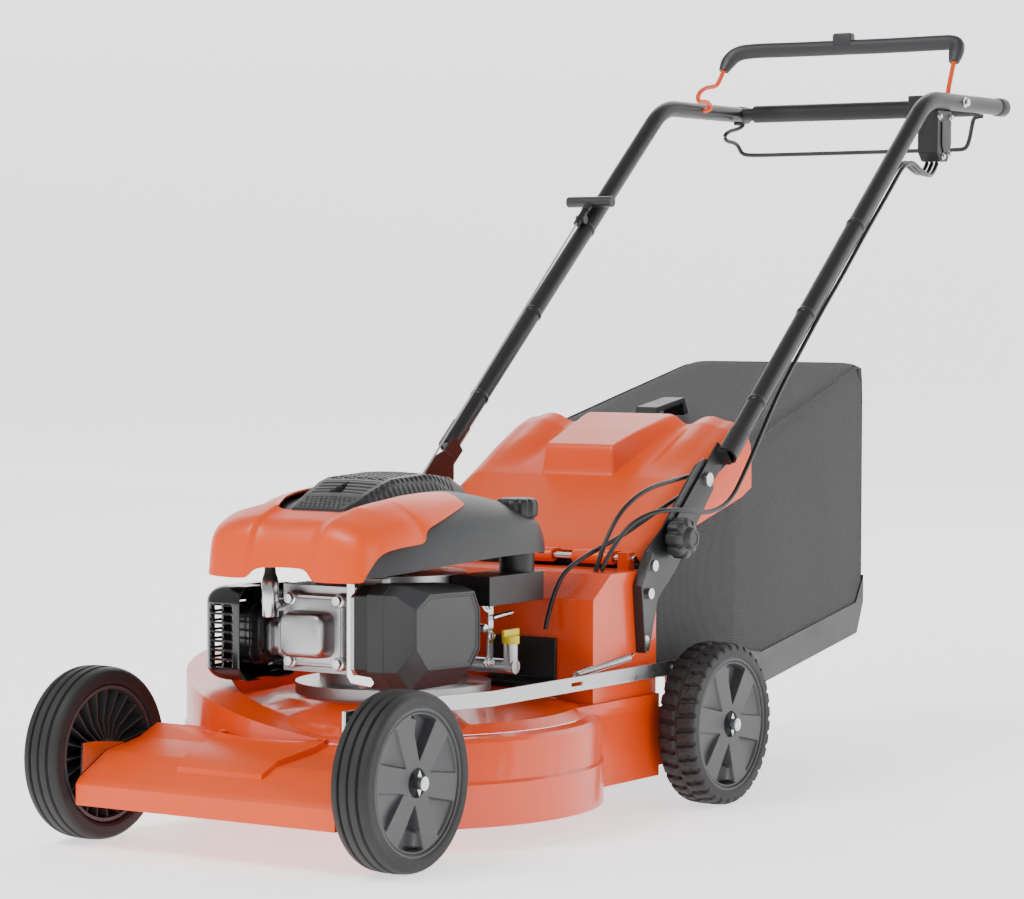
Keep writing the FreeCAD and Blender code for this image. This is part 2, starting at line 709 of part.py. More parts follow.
bracket = slab("bracket_plate", [
    (back(550), "204"),
    (back(578), "204"),
    (back(600), "270"),
    (back(640), "300"),
    (back(668), "330"),
    (back("fold_y + 26"), "fold_z - 14"),
    (back("fold_y + 26"), "fold_z + 16"),
    (back("fold_y + 4"), "fold_z + 28"),
    (back("fold_y - 20"), "fold_z + 20"),
    (back(610), "360"),
    (back(568), "332"),
    (back(540), "290"),
], "housing_half + 0.2", "plate")
bracket_edge = slab("bracket_edge", [
    (back(550), "204"),
    (back(553), "204"),
    (back(543.5), "289"),
    (back(571), "330"),
    (back(568), "332"),
    (back(540), "290"),
], "housing_half + 0.2", "14")
bracket_left = fuse("bracket_left", bracket, bracket_edge)
node("handle_brackets", group("bracket_pair", bracket_left, mirror("bracket_right", bracket_left)))

LEG_COS = "cos(leg_angle * 1 deg)"
LEG_SIN = "sin(leg_angle * 1 deg)"
KNOB_Y = "(front_y + fold_y - knob_reach * %s)" % LEG_COS
KNOB_Z = "(fold_z - knob_reach * %s)" % LEG_SIN
YOKE_X = "(housing_half + 0.2 + plate + 0.3)"

bolts = []
for number, (y, z) in enumerate(((563, 218), (575, 278), (585, 313))):
    bolts.append(rod("bracket_bolt%d" % number, ("housing_half + 0.2 + plate", back(y), str(z)),
                     "5", "7", "x"))
pivot_bolt = fuse("fold_bolt",
                  rod("fold_shank", ("housing_half + 0.2 + plate", back("fold_y"), "fold_z"), "9", "5", "x"),
                  rod("fold_head", (YOKE_X + " + plate + 0.3", back("fold_y"), "fold_z"), "6", "9", "x"))
arm_bolts = [
    rod("front_arm_bolt", ("bumper_half", FRONT_PIVOT, ARM_Z), "7", "axle_radius", "x"),
    rod("rear_arm_bolt", ("box_half", REAR_PIVOT, ARM_Z), "plate + 6.5", "axle_radius", "x"),
]
left_bolts = bolts + [pivot_bolt] + arm_bolts
right_bolts = [mirror("mirror_" + piece.Name, piece) for piece in left_bolts]

# ---------------------------------------------------------------- engine

case_body = rod("case_body", ("0", CRANK, engine_z(14)), "case_high - 14", "case_radius")
case_flange = rod("case_flange", ("0", CRANK, "deck_top"), "14", "flange_radius")
case_nose = box("case_nose", ("-50", engine_y(-94), engine_z(30)), ("100", "50", "118"))
oil_elbow = rod("oil_elbow", ("80", engine_y(41), engine_z(36)), "76", "9", "x")
oil_neck = rod("oil_neck", ("148", engine_y(41), engine_z(30)), "34", "9")
oil_bore = rod("oil_bore", ("148", engine_y(41), engine_z(34)), "60", "6")
case_room = rod("case_room", ("0", CRANK, engine_z("barrel_z - 29")), "58", "web_radius + 6")
case_shaft = rod("case_shaft", ("0", CRANK, "deck_top - 1"), "case_high + 2", "crank_radius + run_gap")
bore = rod("cylinder_bore", ("0", engine_y("-head_y - 1"), engine_z("barrel_z")),
           "head_y - 40", "bore_radius", "y")
node("crankcase", cut("case_cut", fuse("case_solid", case_body, case_flange, case_nose, oil_elbow, oil_neck),
                      case_room, case_shaft, bore, oil_bore))

head_core = box("head_core", ("-44", engine_y("-head_y"), engine_z("barrel_z - 44")),
                ("88", "head_y - 94", "88"))
fins = []
for number in range(6):
    fins.append(box("head_fin%d" % number, ("-58", engine_y("-head_y + %d" % (5 + 9 * number)), engine_z(36)),
                    ("116", "3", "106")))
bore_open = rod("head_bore", ("0", engine_y("-head_y + 8"), engine_z("barrel_z")),
                "head_y", "bore_radius", "y")
node("cylinder_head", cut("head_cut", fuse("head_solid", head_core, *fins), bore_open))

cover_front = "(-head_y - cover_depth)"
valve_rim = box("valve_rim", ("-cover_half", engine_y("-head_y - 8"), engine_z("barrel_z - cover_tall / 2")),
                ("2 * cover_half", "8", "cover_tall"))
valve_box = box("valve_box",
                ("-cover_half + 12", engine_y(cover_front), engine_z("barrel_z - cover_tall / 2 + 12")),
                ("2 * cover_half - 24", "cover_depth", "cover_tall - 24"))
valve_room = box("valve_room",
                 ("-cover_half + 15", engine_y(cover_front + " + 3"), engine_z("barrel_z - cover_tall / 2 + 15")),
                 ("2 * cover_half - 30", "cover_depth", "cover_tall - 30"))
node("valve_cover", cut("valve_cut", fuse("valve_solid", valve_rim, valve_box), valve_room))
valve_bolts = []
for number, (sx, sz) in enumerate(((-1, -1), (1, -1), (-1, 1), (1, 1))):
    valve_bolts.append(rod("valve_bolt%d" % number,
                           ("%d * (cover_half - 6)" % sx, engine_y("-head_y - 14"),
                            engine_z("barrel_z + %d * (cover_tall / 2 - 6)" % sz)), "6", "5", "y"))

node("frame_bolts", group("frame_bolt_set", *(left_bolts + right_bolts + valve_bolts + [flap_rod])))

plug = rod("plug_body", ("-50", engine_y("-head_y - 14"), engine_z("barrel_z + 30")), "19", "6", "y")
boot_tube = rod("boot_tube", ("-54", engine_y("-head_y - 24"), engine_z("barrel_z + 18")), "46", "9")
boot_room = rod("boot_room", ("-50", engine_y("-head_y - 14.1"), engine_z("barrel_z + 30")), "19", "6.1", "y")
node("spark_plug", group("plug_and_boot", plug, cut("plug_boot", boot_tube, boot_room)))

node("piston", rod("piston_body", ("0", engine_y("-head_y + 12"), engine_z("barrel_z")),
                   "44", "bore_radius - 0.08", "y"))

exhaust = rod("exhaust_pipe", ("-72", engine_y(-133), engine_z("barrel_z")), "14", "14", "x")
silencer = box("silencer_body", ("-152", engine_y(-172), engine_z(29)), ("80", "92", "92"))
node("muffler", fuse("muffler_solid", exhaust, silencer))
guard_outer = slab("guard_outer", [
    (engine_y(-193), engine_z(50)), (engine_y(-178), engine_z(27)), (engine_y(-72), engine_z(27)),
    (engine_y(-72), engine_z(131)), (engine_y(-178), engine_z(131)), (engine_y(-193), engine_z(116)),
], "-172", "106")
guard_inner = slab("guard_inner", [
    (engine_y(-191), engine_z(51)), (engine_y(-177), engine_z(29)), (engine_y(-74), engine_z(29)),
    (engine_y(-74), engine_z(129)), (engine_y(-177), engine_z(129)), (engine_y(-191), engine_z(115)),
], "-170", "106")
slots = []
for number in range(5):
    slots.append(box("guard_slot%d" % number, ("-168", engine_y(-200), engine_z(54 + 12 * number)),
                     ("38", "20", "7")))
node("muffler_guard", cut("guard_cut", guard_outer, guard_inner, *slots))

carb_body = box("carb_body", ("58", engine_y(-130), engine_z(66)), ("24", "58", "50"))
filter_base = slab("filter_base", [
    (engine_y(-205), engine_z(50)), (engine_y(-186), engine_z(26)), (engine_y(-82), engine_z(26)),
    (engine_y(-60), engine_z(48)), (engine_y(-60), engine_z(118)), (engine_y(-76), engine_z(136)),
    (engine_y(-190), engine_z(147)), (engine_y(-205), engine_z(136)),
], "82", "7")
node("carburettor", fuse("carburettor_and_base", carb_body, filter_base))


def filter_section(name, inset, start, wide):
    """The air filter's eight-sided outline, moved inwards by a wall."""
    i = inset
    return slab(name, [
        (engine_y(-209 + i), engine_z(48 + i / 2)), (engine_y(-187 + i / 2), engine_z(22 + i)),
        (engine_y(-79 - i / 2), engine_z(22 + i)), (engine_y(-56 - i), engine_z(47 + i / 2)),
        (engine_y(-56 - i), engine_z(119 - i / 2)), (engine_y(-74 - i / 2), engine_z(139 - i)),
        (engine_y(-191 + i / 2), engine_z(149 - i)), (engine_y(-209 + i), engine_z(138 - i / 2)),
    ], start, wide)


node("air_filter_cover", cut("filter_cut", filter_section("filter_outer", 0, "89", "87"),
                             filter_section("filter_inner", 3, "85", "88")))
node("air_filter_element", box("filter_foam", ("89", engine_y(-190), engine_z(38)), ("50", "110", "88")))

# Fuel tank, filler neck and cap.
tank = box("tank_box", ("96", engine_y(-12), engine_z(114)), ("56", "122", "case_high - 114"))
neck = rod("tank_neck", ("128", engine_y(85), engine_z("case_high - 2")), "70", "22")
neck_bore = rod("tank_neck_bore", ("128", engine_y(85), engine_z("case_high - 2")), "80", "18")
tank_room = box("tank_room", ("99", engine_y(-9), engine_z(117)), ("50", "116", "case_high - 120"))
node("fuel_tank", cut("tank_cut", fuse("tank_solid", tank, neck), neck_bore, tank_room))
cap_cuts = []
cap_body = rod("cap_body", ("128", engine_y(85), engine_z("case_high + 68")), "24", "27")
for number in range(8):
    angle = math.radians(45 * number)
    cap_cuts.append(rod("cap_cut%d" % number, ("128 + %.3f" % (29 * math.cos(angle)),
                                              engine_y("85 + %.3f" % (29 * math.sin(angle))),
                                              engine_z("case_high + 66")), "30", "4.5"))
node("fuel_cap", cut("cap_grips", cap_body, *cap_cuts))
stick = fuse("stick_solid", rod("stick_cap", ("148", engine_y(41), engine_z(64)), "10", "11"),
             box("stick_grip", ("146", engine_y(24), engine_z(74)), ("4", "34", "8")),
             rod("stick_blade", ("148", engine_y(41), engine_z(36)), "30", "2.5"))
node("dipstick", stick)

# Engine covers. Each is lofted through outlines across X, given from front to rear.


def section(y, corners, inset=0, low=0):
    """One outline across X, moved inwards by a wall, with its two lowest corners raised by low."""
    points = []
    last = len(corners) - 1
    for number, (x, z) in enumerate(corners):
        side = 0 if abs(x) < 1 else math.copysign(inset, x)
        lift = low if number in (0, last) else -inset
        points.append(point(x - side, engine_y(y), engine_z(z - 165 + lift)))
    return Part.makePolygon(points + [points[0]])


COVER = [
    (-154, [(-148, 315), (-148, 352), (-100, 384), (-52, 396), (80, 396), (118, 378), (150, 346), (150, 315)]),
    (-60, [(-154, 315), (-154, 368), (-104, 402), (-56, 416), (84, 416), (126, 402), (166, 366), (166, 315)]),
    (40, [(-152, 315), (-152, 368), (-100, 402), (-54, 418), (80, 418), (124, 404), (168, 370), (168, 315)]),
    (100, [(-128, 315), (-128, 355), (-88, 380), (-48, 390), (70, 390), (112, 382), (160, 360), (160, 315)]),
    (118, [(-112, 315), (-112, 342), (-78, 362), (-44, 370), (66, 370), (104, 364), (146, 350), (146, 315)]),
]


def cover_loft(stations, inset, low, front, rear):
    """A closed loft through a cover's outlines, moved inwards by a wall."""
    wires = []
    for number, (y, corners) in enumerate(stations):
        shift = front if number == 0 else rear if number == len(stations) - 1 else 0
        wires.append(section(y + shift, corners, inset, low))
    return Part.makeLoft(wires, True, True)


cover_solid = feature("cover_solid", cover_loft(COVER, 0, 0, 0, 0))
cover_space = feature("cover_space", cover_loft(COVER, 3, 4, 3, -3))
floor_hole = rod("cover_floor_hole", ("0", CRANK, engine_z("case_high - 2")), "12", "30")
neck_hole = rod("cover_neck_hole", ("128", engine_y(85), engine_z("case_high - 2")), "100", "22.2")
cap_room = rod("cover_cap_room", ("128", engine_y(85), engine_z("case_high + 64")), "60", "29")
rope_hole = rod("cover_rope_hole", ("-106", engine_y(80), "330"), "60", "7", "y")
node("engine_cover", cut("cover_cut", cover_solid, cover_space, floor_hole, neck_hole, cap_room, rope_hole))

GRILLE = [
    (-184, [(-34, 385), (-30, 390), (68, 390), (72, 385)]),
    (-110, [(-58, 385), (-50, 418), (76, 418), (84, 385)]),
    (-20, [(-60, 385), (-52, 436), (78, 436), (88, 385)]),
    (60, [(-54, 380), (-46, 424), (74, 424), (82, 380)]),
    (112, [(-40, 360), (-34, 384), (60, 384), (66, 360)]),
]
grille_solid = feature("grille_solid", cover_loft(GRILLE, 0, 0, 0, 0))
cover_mass = feature("cover_solid_grille", cover_loft(COVER, 0, 0, -60, 0))
node("starter_grille", cut("grille_cut", grille_solid, cover_mass))

NOSE = [
    (-243, [(-104, 318), (-100, 344), (-56, 350), (80, 346), (92, 338), (97, 318)]),
    (-226, [(-114, 318), (-110, 358), (-70, 372), (84, 370), (108, 350), (112, 318)]),
    (-190, [(-132, 318), (-128, 374), (-84, 394), (90, 391), (126, 364), (132, 318)]),
    (-146, [(-156, 318), (-153, 372), (-92, 404), (94, 402), (136, 378), (156, 318)]),
]
shroud_solid = feature("shroud_solid", cover_loft(NOSE, 0, 0, 0, 0))
shroud_space = feature("shroud_space", cover_loft(NOSE, 3, -8, 3, 8))
tail_left = feature("tail_left", Part.makeLoft([
    Part.makePolygon([point(x, engine_y(-148), engine_z(z - 165)) for x, z in
                      ((84, 360), (88, 405), (130, 392), (152, 350), (146, 330), (84, 360))]),
    Part.makePolygon([point(x, engine_y(-24), engine_z(z - 165)) for x, z in
                      ((96, 380), (98, 419), (118, 413), (130, 403), (126, 385), (96, 380))]),
], True, True))
tail_right = feature("tail_right", Part.makeLoft([
    Part.makePolygon([point(x, engine_y(-148), engine_z(z - 165)) for x, z in
                      ((-82, 360), (-86, 406), (-130, 388), (-152, 350), (-146, 330), (-82, 360))]),
    Part.makePolygon([point(x, engine_y(-24), engine_z(z - 165)) for x, z in
                      ((-74, 380), (-76, 420), (-100, 412), (-112, 402), (-108, 385), (-74, 380))]),
], True, True))
grille_room = feature("grille_room", cover_loft(GRILLE, 0, -40, -12, 0))
shroud_seat = feature("cover_solid_shroud", cover_loft(COVER, 0, -10, 0, 0))
node("engine_shroud", cut("shroud_cut", fuse("shroud_mass", cut("shroud_skin", shroud_solid, shroud_space),
                                            tail_left, tail_right), shroud_seat, grille_room))

# ---------------------------------------------------------------- crankshaft, flywheel and blade

shaft_low = rod("shaft_low", ("0", CRANK, "blade_low + 12"),
                "deck_top + barrel_z - 14 - blade_low - 12", "crank_radius")
shaft_high = rod("shaft_high", ("0", CRANK, engine_z("barrel_z + 14")),
                 "case_high - barrel_z + 32", "crank_radius")
webs = [
    rod("web_low", ("0", CRANK, engine_z("barrel_z - 26")), "12", "web_radius"),
    rod("web_high", ("0", CRANK, engine_z("barrel_z + 14")), "12", "web_radius"),
    rod("crank_pin", ("0", engine_y("-crank_throw"), engine_z("barrel_z - 14")), "28", "14"),
]
node("crankshaft", fuse("crank_solid", shaft_low, shaft_high, *webs))
node("flywheel", turned("flywheel_turn", [
    ("crank_radius", "case_high + 10"), ("flywheel_radius", "case_high + 10"),
    ("flywheel_radius", "case_high + 30"), ("flywheel_radius - 14", "case_high + 30"),
    ("flywheel_radius - 20", "case_high + 20"), ("30", "case_high + 20"),
    ("28", "case_high + 36"), ("crank_radius", "case_high + 36"),
], ("0", CRANK, "deck_top")))
ADAPTER_TOP = "pulley_z - blade_low"
node("blade_adapter", turned("adapter_turn", [
    ("5", "3"), ("24", "3"), ("24", "9"), ("19", "12"), ("19", ADAPTER_TOP + " - 4"),
    ("pulley_small + 8", ADAPTER_TOP + " - 2"), ("pulley_small + 8", ADAPTER_TOP),
    ("pulley_small", ADAPTER_TOP + " + 0.4"), ("pulley_small", ADAPTER_TOP + " + belt_tall - 0.4"),
    ("pulley_small + 8", ADAPTER_TOP + " + belt_tall"),
    ("pulley_small + 8", ADAPTER_TOP + " + belt_tall + 2"),
    ("crank_radius", ADAPTER_TOP + " + belt_tall + 2"), ("crank_radius", "12"), ("5", "12"),
], ("0", CRANK, "blade_low")))
blade_flat = box("blade_flat", ("-blade_length / 2", engine_y("-blade_width / 2"), "blade_low"),
                 ("blade_length", "blade_width", "3"))
blade_wings = []
for label, sign in (("left", 1), ("right", -1)):
    start = "blade_length / 2 - 90" if sign > 0 else "-blade_length / 2"
    low_y = "blade_width / 2 - 14" if sign > 0 else "-blade_width / 2"
    blade_wings.append(box("blade_wing_" + label, (start, engine_y(low_y), "blade_low + 3"),
                           ("90", "14", "9")))
blade_hole = rod("blade_hole", ("0", CRANK, "blade_low - 5"), "15", "5")
node("blade", cut("blade_cut", fuse("blade_solid", blade_flat, *blade_wings), blade_hole))
node("blade_bolt", fuse("blade_bolt_solid", rod("blade_bolt_head", ("0", CRANK, "blade_low - 8"), "8", "11"),
                        rod("blade_bolt_shank", ("0", CRANK, "blade_low - 2"), "14", "5")))

# ---------------------------------------------------------------- drive belt and gearbox

gear_y = REAR
gear_body = box("gear_body", ("gearbox_x - 34", gear_y + " - 36", "wheel_radius - 27"), ("68", "72", "54"))
gear_tower = rod("gear_tower", ("gearbox_x", gear_y, "wheel_radius + 26"),
                 "pulley_z - 3 - wheel_radius - 26", "20")
gear_axle = rod("gear_axle_bore", ("gearbox_x - 60", gear_y, "wheel_radius"),
                "120", "axle_radius + run_gap", "x")
gear_shaft_bore = rod("gear_shaft_bore", ("gearbox_x", gear_y, "wheel_radius + 12"), "60", "7 + run_gap")
node("gearbox", cut("gear_cut", fuse("gear_solid", gear_body, gear_tower), gear_axle, gear_shaft_bore))
node("gearbox_pulley", turned("gear_pulley_turn", [
    ("0", "wheel_radius + 13 - pulley_z"), ("7", "wheel_radius + 13 - pulley_z"), ("7", "-2"),
    ("pulley_large + 8", "-2"), ("pulley_large + 8", "0"), ("pulley_large", "0.4"),
    ("pulley_large", "belt_tall - 0.4"), ("pulley_large + 8", "belt_tall"),
    ("pulley_large + 8", "belt_tall + 2"), ("0", "belt_tall + 2"),
], ("gearbox_x", gear_y, "pulley_z")))


def belt_loop(extra):
    """The closed line of a belt around the two pulleys, extra outside their grooves."""
    first = V(0, val(CRANK), val("pulley_z + 0.7"))
    second = V(val("gearbox_x"), val(gear_y), val("pulley_z + 0.7"))
    small = val("pulley_small") + 0.3 + extra
    large = val("pulley_large") + 0.3 + extra
    span = second - first
    away = span.Length
    along = V(span).normalize()
    across = V(-along.y, along.x, 0)
    lean = math.asin((large - small) / away)
    left = across * math.cos(lean) - along * math.sin(lean)
    right = across * -math.cos(lean) - along * math.sin(lean)
    ring = [
        Part.LineSegment(first + left * small, second + left * large).toShape(),
        Part.Arc(second + left * large, second + along * large, second + right * large).toShape(),
        Part.LineSegment(second + right * large, first + right * small).toShape(),
        Part.Arc(first + right * small, first - along * small, first + left * small).toShape(),
    ]
    return Part.Wire(ring)


belt_face = Part.Face([belt_loop(val("belt_wall")), belt_loop(0)])
belt_face.validate()
node("drive_belt", feature("belt_band", belt_face.extrude(V(0, 0, val("belt_tall - 1.4")))))

# ---------------------------------------------------------------- height spring

SPRING_X = "(rear_arm_x + plate + free_gap + plate / 2 + 0.5)"
spring_start = point(SPRING_X, back(400), PIN_Z + " + bar_height / 2 + 5.5")
spring_end = point(SPRING_X, back(520), PIN_Z + " + bar_height / 2 + 8")
node("height_spring", feature("spring_body", swept([spring_start, spring_end], [], 5.5)))

# ---------------------------------------------------------------- handle


def leg(along, off):
    """A place beside a handle leg: along it from the pivot, and off it towards the front."""
    y = "(front_y + fold_y + (%s) * %s - (%s) * %s)" % (along, LEG_COS, off, LEG_SIN)
    z = "(fold_z + (%s) * %s + (%s) * %s)" % (along, LEG_SIN, off, LEG_COS)
    return y, z


ARM_HIGH = "(fold_z + leg_corner * %s)" % LEG_SIN


def leg_path(shrink):
    """One handle tube from its lower end to the rear end of its arm."""
    low = leg("leg_start", "0")
    corner = leg("leg_corner", "0")
    return swept([
        point("handle_half", low[0], low[1]),
        point("handle_half", corner[0], corner[1]),
        point("handle_half", back("arm_end"), ARM_HIGH),
    ], [val("bend_radius")], val("tube_radius") - shrink)


tube_solid = feature("leg_tube_solid", leg_path(0))
tube_space = feature("leg_tube_space", leg_path(val("tube_wall")))
bail_hole = rod("bail_hole", ("handle_half - 20", back("bail_pivot_y"), ARM_HIGH),
                "40", "bail_radius + run_gap", "x")
leg_tube = cut("leg_tube", tube_solid, tube_space, bail_hole)
bar_core = rod("bar_core", ("-handle_half", back("bar_y"), ARM_HIGH), "2 * handle_half", "10", "x")
bar_sleeve = rod("bar_sleeve", ("-handle_half + tube_radius + 18", back("bar_y"), ARM_HIGH),
                 "2 * (handle_half - tube_radius - 18)", "grip_radius", "x")
tube_solid_right = mirror("tube_solid_right", tube_solid)
node("cross_bar", cut("bar_cut", fuse("bar_solid", bar_core, bar_sleeve), tube_solid, tube_solid_right))

yoke_plate = slab("yoke_plate", [
    leg("-knob_reach - 14", "-15"), leg("leg_start + 10", "-15"),
    leg("leg_start + 10", "15"), leg("-knob_reach - 14", "13"),
], YOKE_X, "plate")
yoke_sleeve = feature("yoke_sleeve", swept([
    point("handle_half", *leg("leg_start", "0")), point("handle_half", *leg("leg_start + 44", "0")),
], [], val("tube_radius") + 1.5))
yoke_bridge = slab("yoke_bridge", [
    leg("leg_start - 4", "-12"), leg("leg_start + 8", "-12"),
    leg("leg_start + 8", "12"), leg("leg_start - 4", "12"),
], YOKE_X, "handle_half + 4 - " + YOKE_X)
pivot_hole = rod("yoke_pivot_hole", ("housing_half", back("fold_y"), "fold_z"), "40", "5 + run_gap", "x")
notch = slab("yoke_notch", [
    leg("-knob_reach - 4.5", "-4.5"), leg("-knob_reach + 4.5", "-4.5"),
    leg("-knob_reach + 4.5", "30"), leg("-knob_reach - 4.5", "30"),
], "housing_half", "40")
yoke = cut("yoke", fuse("yoke_solid", yoke_plate, yoke_sleeve, yoke_bridge), tube_solid, pivot_hole, notch)
left_tube = fuse("left_tube", leg_tube, yoke)
node("handle_tube_left", left_tube)


def knob(name, side):
    """A lobed clamp knob with its stud."""
    x = "(%s + plate + 0.4)" % YOKE_X
    stud = rod(name + "_stud", ("housing_half + 0.2 + plate", KNOB_Y, KNOB_Z), "20", "4", "x")
    disc = rod(name + "_disc", (x, KNOB_Y, KNOB_Z), "26", "knob_radius", "x")
    boss = rod(name + "_boss", (x + " + 25", KNOB_Y, KNOB_Z), "6", "13", "x")
    scoops = []
    for number in range(8):
        angle = math.radians(45 * number + 10)
        scoops.append(rod("%s_scoop%d" % (name, number),
                          (x + " + 5", "%s + %.4f * (knob_radius + 3)" % (KNOB_Y, math.cos(angle)),
                           "%s + %.4f * (knob_radius + 3)" % (KNOB_Z, math.sin(angle))), "40", "6", "x"))
    made = cut(name + "_solid", fuse(name + "_mass", stud, disc, boss), *scoops)
    return made if side > 0 else mirror(name + "_mirror", made)


node("left_knob", knob("knob_a", 1))
node("right_knob", knob("knob_b", -1))

# Engine brake bail: two bent wire ends and a moulded grip between them.
BAIL_IN = "(handle_half - tube_radius - 13)"
pivot_at = (back("bail_pivot_y"), ARM_HIGH)


def bail_point(x, share):
    """A point on the bail's side, by its share of the way from the pivot to the grip."""
    return point(x, back("bail_pivot_y + %s * bail_reach_y" % share),
                 "%s + %s * bail_reach_z" % (ARM_HIGH, share))


def bail_wire(sign):
    """One wire end, from its stub in the handle arm up to the grip."""
    return swept([
        point("%d * (handle_half + tube_radius + 3)" % sign, *pivot_at),
        bail_point("%d * %s" % (sign, BAIL_IN), "0"),
        bail_point("%d * %s" % (sign, BAIL_IN), "0.72"),
    ], [9], val("bail_radius"))


node("bail_wires", group("bail_wire_pair", feature("bail_wire_left", bail_wire(1)),
                         feature("bail_wire_right", bail_wire(-1))))
node("bail_grip", feature("bail_grip_bar", swept([
    bail_point(BAIL_IN, "0.72"), bail_point(BAIL_IN, "1"),
    bail_point("-" + BAIL_IN, "1"), bail_point("-" + BAIL_IN, "0.72"),
], [14, 14], 9)))

drive_y = back("drive_pivot_y")
drive_z = ARM_HIGH + " - 9"
node("drive_bail", feature("drive_bail_rod", swept([
    point("handle_half - tube_radius + 4", drive_y, drive_z + " - 4"),
    point(BAIL_IN, drive_y, drive_z + " - 4"),
    point(BAIL_IN + " - 6", drive_y + " - 11", drive_z + " - 56"),
    point("-" + BAIL_IN + " + 6", drive_y + " - 11", drive_z + " - 56"),
    point("-" + BAIL_IN, drive_y, drive_z + " - 4"),
    point("-handle_half + tube_radius - 4", drive_y, drive_z + " - 4"),
], [6, 8, 8, 6], val("drive_rod"))))

box_top = ARM_HIGH + " - tube_radius"
node("control_box", slab("control_body", [
    (back(1366), box_top), (back(1414), box_top), (back(1414), box_top + " - 50"),
    (back(1402), box_top + " - 76"), (back(1378), box_top + " - 76"), (back(1366), box_top + " - 62"),
], "handle_half - 33", "33"))
lever_tab = box("lever_tab", ("handle_half - 58", back(1384), box_top + " - 6"), ("25", "12", "28"))
lever_hub = rod("lever_hub", ("handle_half - 58", back(1390), box_top + " - 6"), "25", "6", "x")
node("drive_lever", fuse("lever_solid", lever_tab, lever_hub))

guide_y, guide_z = leg("520", "tube_radius + 6")
guide = rod("guide_block", ("-handle_half - 7", guide_y, guide_z), "14", "6.5", "x")
guide_eye = feature("guide_eye", swept([point("-handle_half", *leg("505", "tube_radius + 10")),
                                        point("-handle_half", *leg("535", "tube_radius + 10"))], [], 5))
guide_bore = feature("guide_bore", swept([point("-handle_half", *leg("490", "tube_radius + 10")),
                                          point("-handle_half", *leg("550", "tube_radius + 10"))], [],
                                         val("rope_radius") + 0.6))
rope_guide = cut("guide_cut", fuse("guide_solid", guide, guide_eye), tube_solid_right, guide_bore)
node("handle_tube_right", fuse("right_tube", mirror("right_tube_plain", left_tube), rope_guide))
grip_low = point("-handle_half", *leg("536", "tube_radius + 10"))
grip_high = point("-handle_half", *leg("556", "tube_radius + 10"))
grip_stem = Part.makeCylinder(6, 22, grip_low, grip_high - grip_low)
grip_bar = Part.makeCylinder(8, 76, grip_high - V(38, 0, 0), V(1, 0, 0))
node("starter_grip", feature("starter_grip_solid", grip_stem.fuse(grip_bar).removeSplitter()))
rope_low = point("-106", engine_y(112), "330")
rope_mid = point("-handle_half", *leg("505", "tube_radius + 10"))
rope_high = point("-handle_half", *leg("536", "tube_radius + 10"))
rope_shape = swept([rope_low, rope_mid, rope_high], [40], val("rope_radius"))
node("starter_rope", feature("starter_rope_line", rope_shape))

# ---------------------------------------------------------------- control cables


def beside_leg(x, along, off):
    """A cable point that follows the leg."""
    y = 715 + along * math.cos(math.radians(40.6)) - off * math.sin(math.radians(40.6))
    z = 418 + along * math.sin(math.radians(40.6)) + off * math.cos(math.radians(40.6))
    return x, round(y, 1), round(z, 1)


def down_leg(x, offs):
    """The clipped stretch of a cable under the leg."""
    return [beside_leg(x, along, off) for along, off in zip((700, 615, 530, 445, 360, 275, 200, 140), offs)]


drive_start = [(210, 1390, 854.5), (214, 1368, 834), (224, 1322, 836)]
drive_leg = down_leg(229, (-19, -20, -18.5, -20, -18.5, -20, -22, -30))
drive_end = [(234, 778, 425), (239, 730, 388), (240, 672, 376), (236, 612, 385), (218, 562, 384),
             (192, 526, 356), (176, 512, 309)]
cable("drive_cable", drive_start + drive_leg + drive_end)

brake_start = [(202, 1390, 854.5), (206, 1368, 836), (216, 1322, 837)]
brake_leg = down_leg(221, (-19, -18, -20, -18.5, -20, -18.5, -19, -22))
brake_end = [(206, 790, 450), (199, 735, 428), (196, 670, 420), (190, 605, 412), (183, 552, 388),
             (175, 520, 345), (169, 510, 309)]
cable("brake_cable", brake_start + brake_leg + brake_end)

throttle_start = [(194, 1390, 854.5), (198, 1368, 838), (208, 1322, 838)]
throttle_leg = down_leg(213, (-20, -18.5, -20, -18.5, -20, -18.5, -22, -28))
throttle_end = [(201, 776, 428), (196, 700, 405), (186, 628, 378), (172, 560, 348), (161, 496, 329),
                (152, 440, 302), (146, 428, 240)]
cable("throttle_cable", throttle_start + throttle_leg + throttle_end)
for name in ("drive_cable", "brake_cable", "throttle_cable"):
    node(name, doc.getObject(name))

# ---------------------------------------------------------------- grass bag


def bag_taper(name, inset):
    """The bag's plan: straight beside the frame, then narrower towards the rear."""
    wide = "(bag_half - %s)" % inset
    thin = "(bag_rear_half - %s)" % inset
    return sheetmetal(name, [
        ("-" + wide, back("bag_mouth - 40")), (wide, back("bag_mouth - 40")), (wide, back(835)),
        (thin, back("bag_end + 10")), ("-" + thin, back("bag_end + 10")), ("-" + wide, back(835)),
    ], "100", "500")


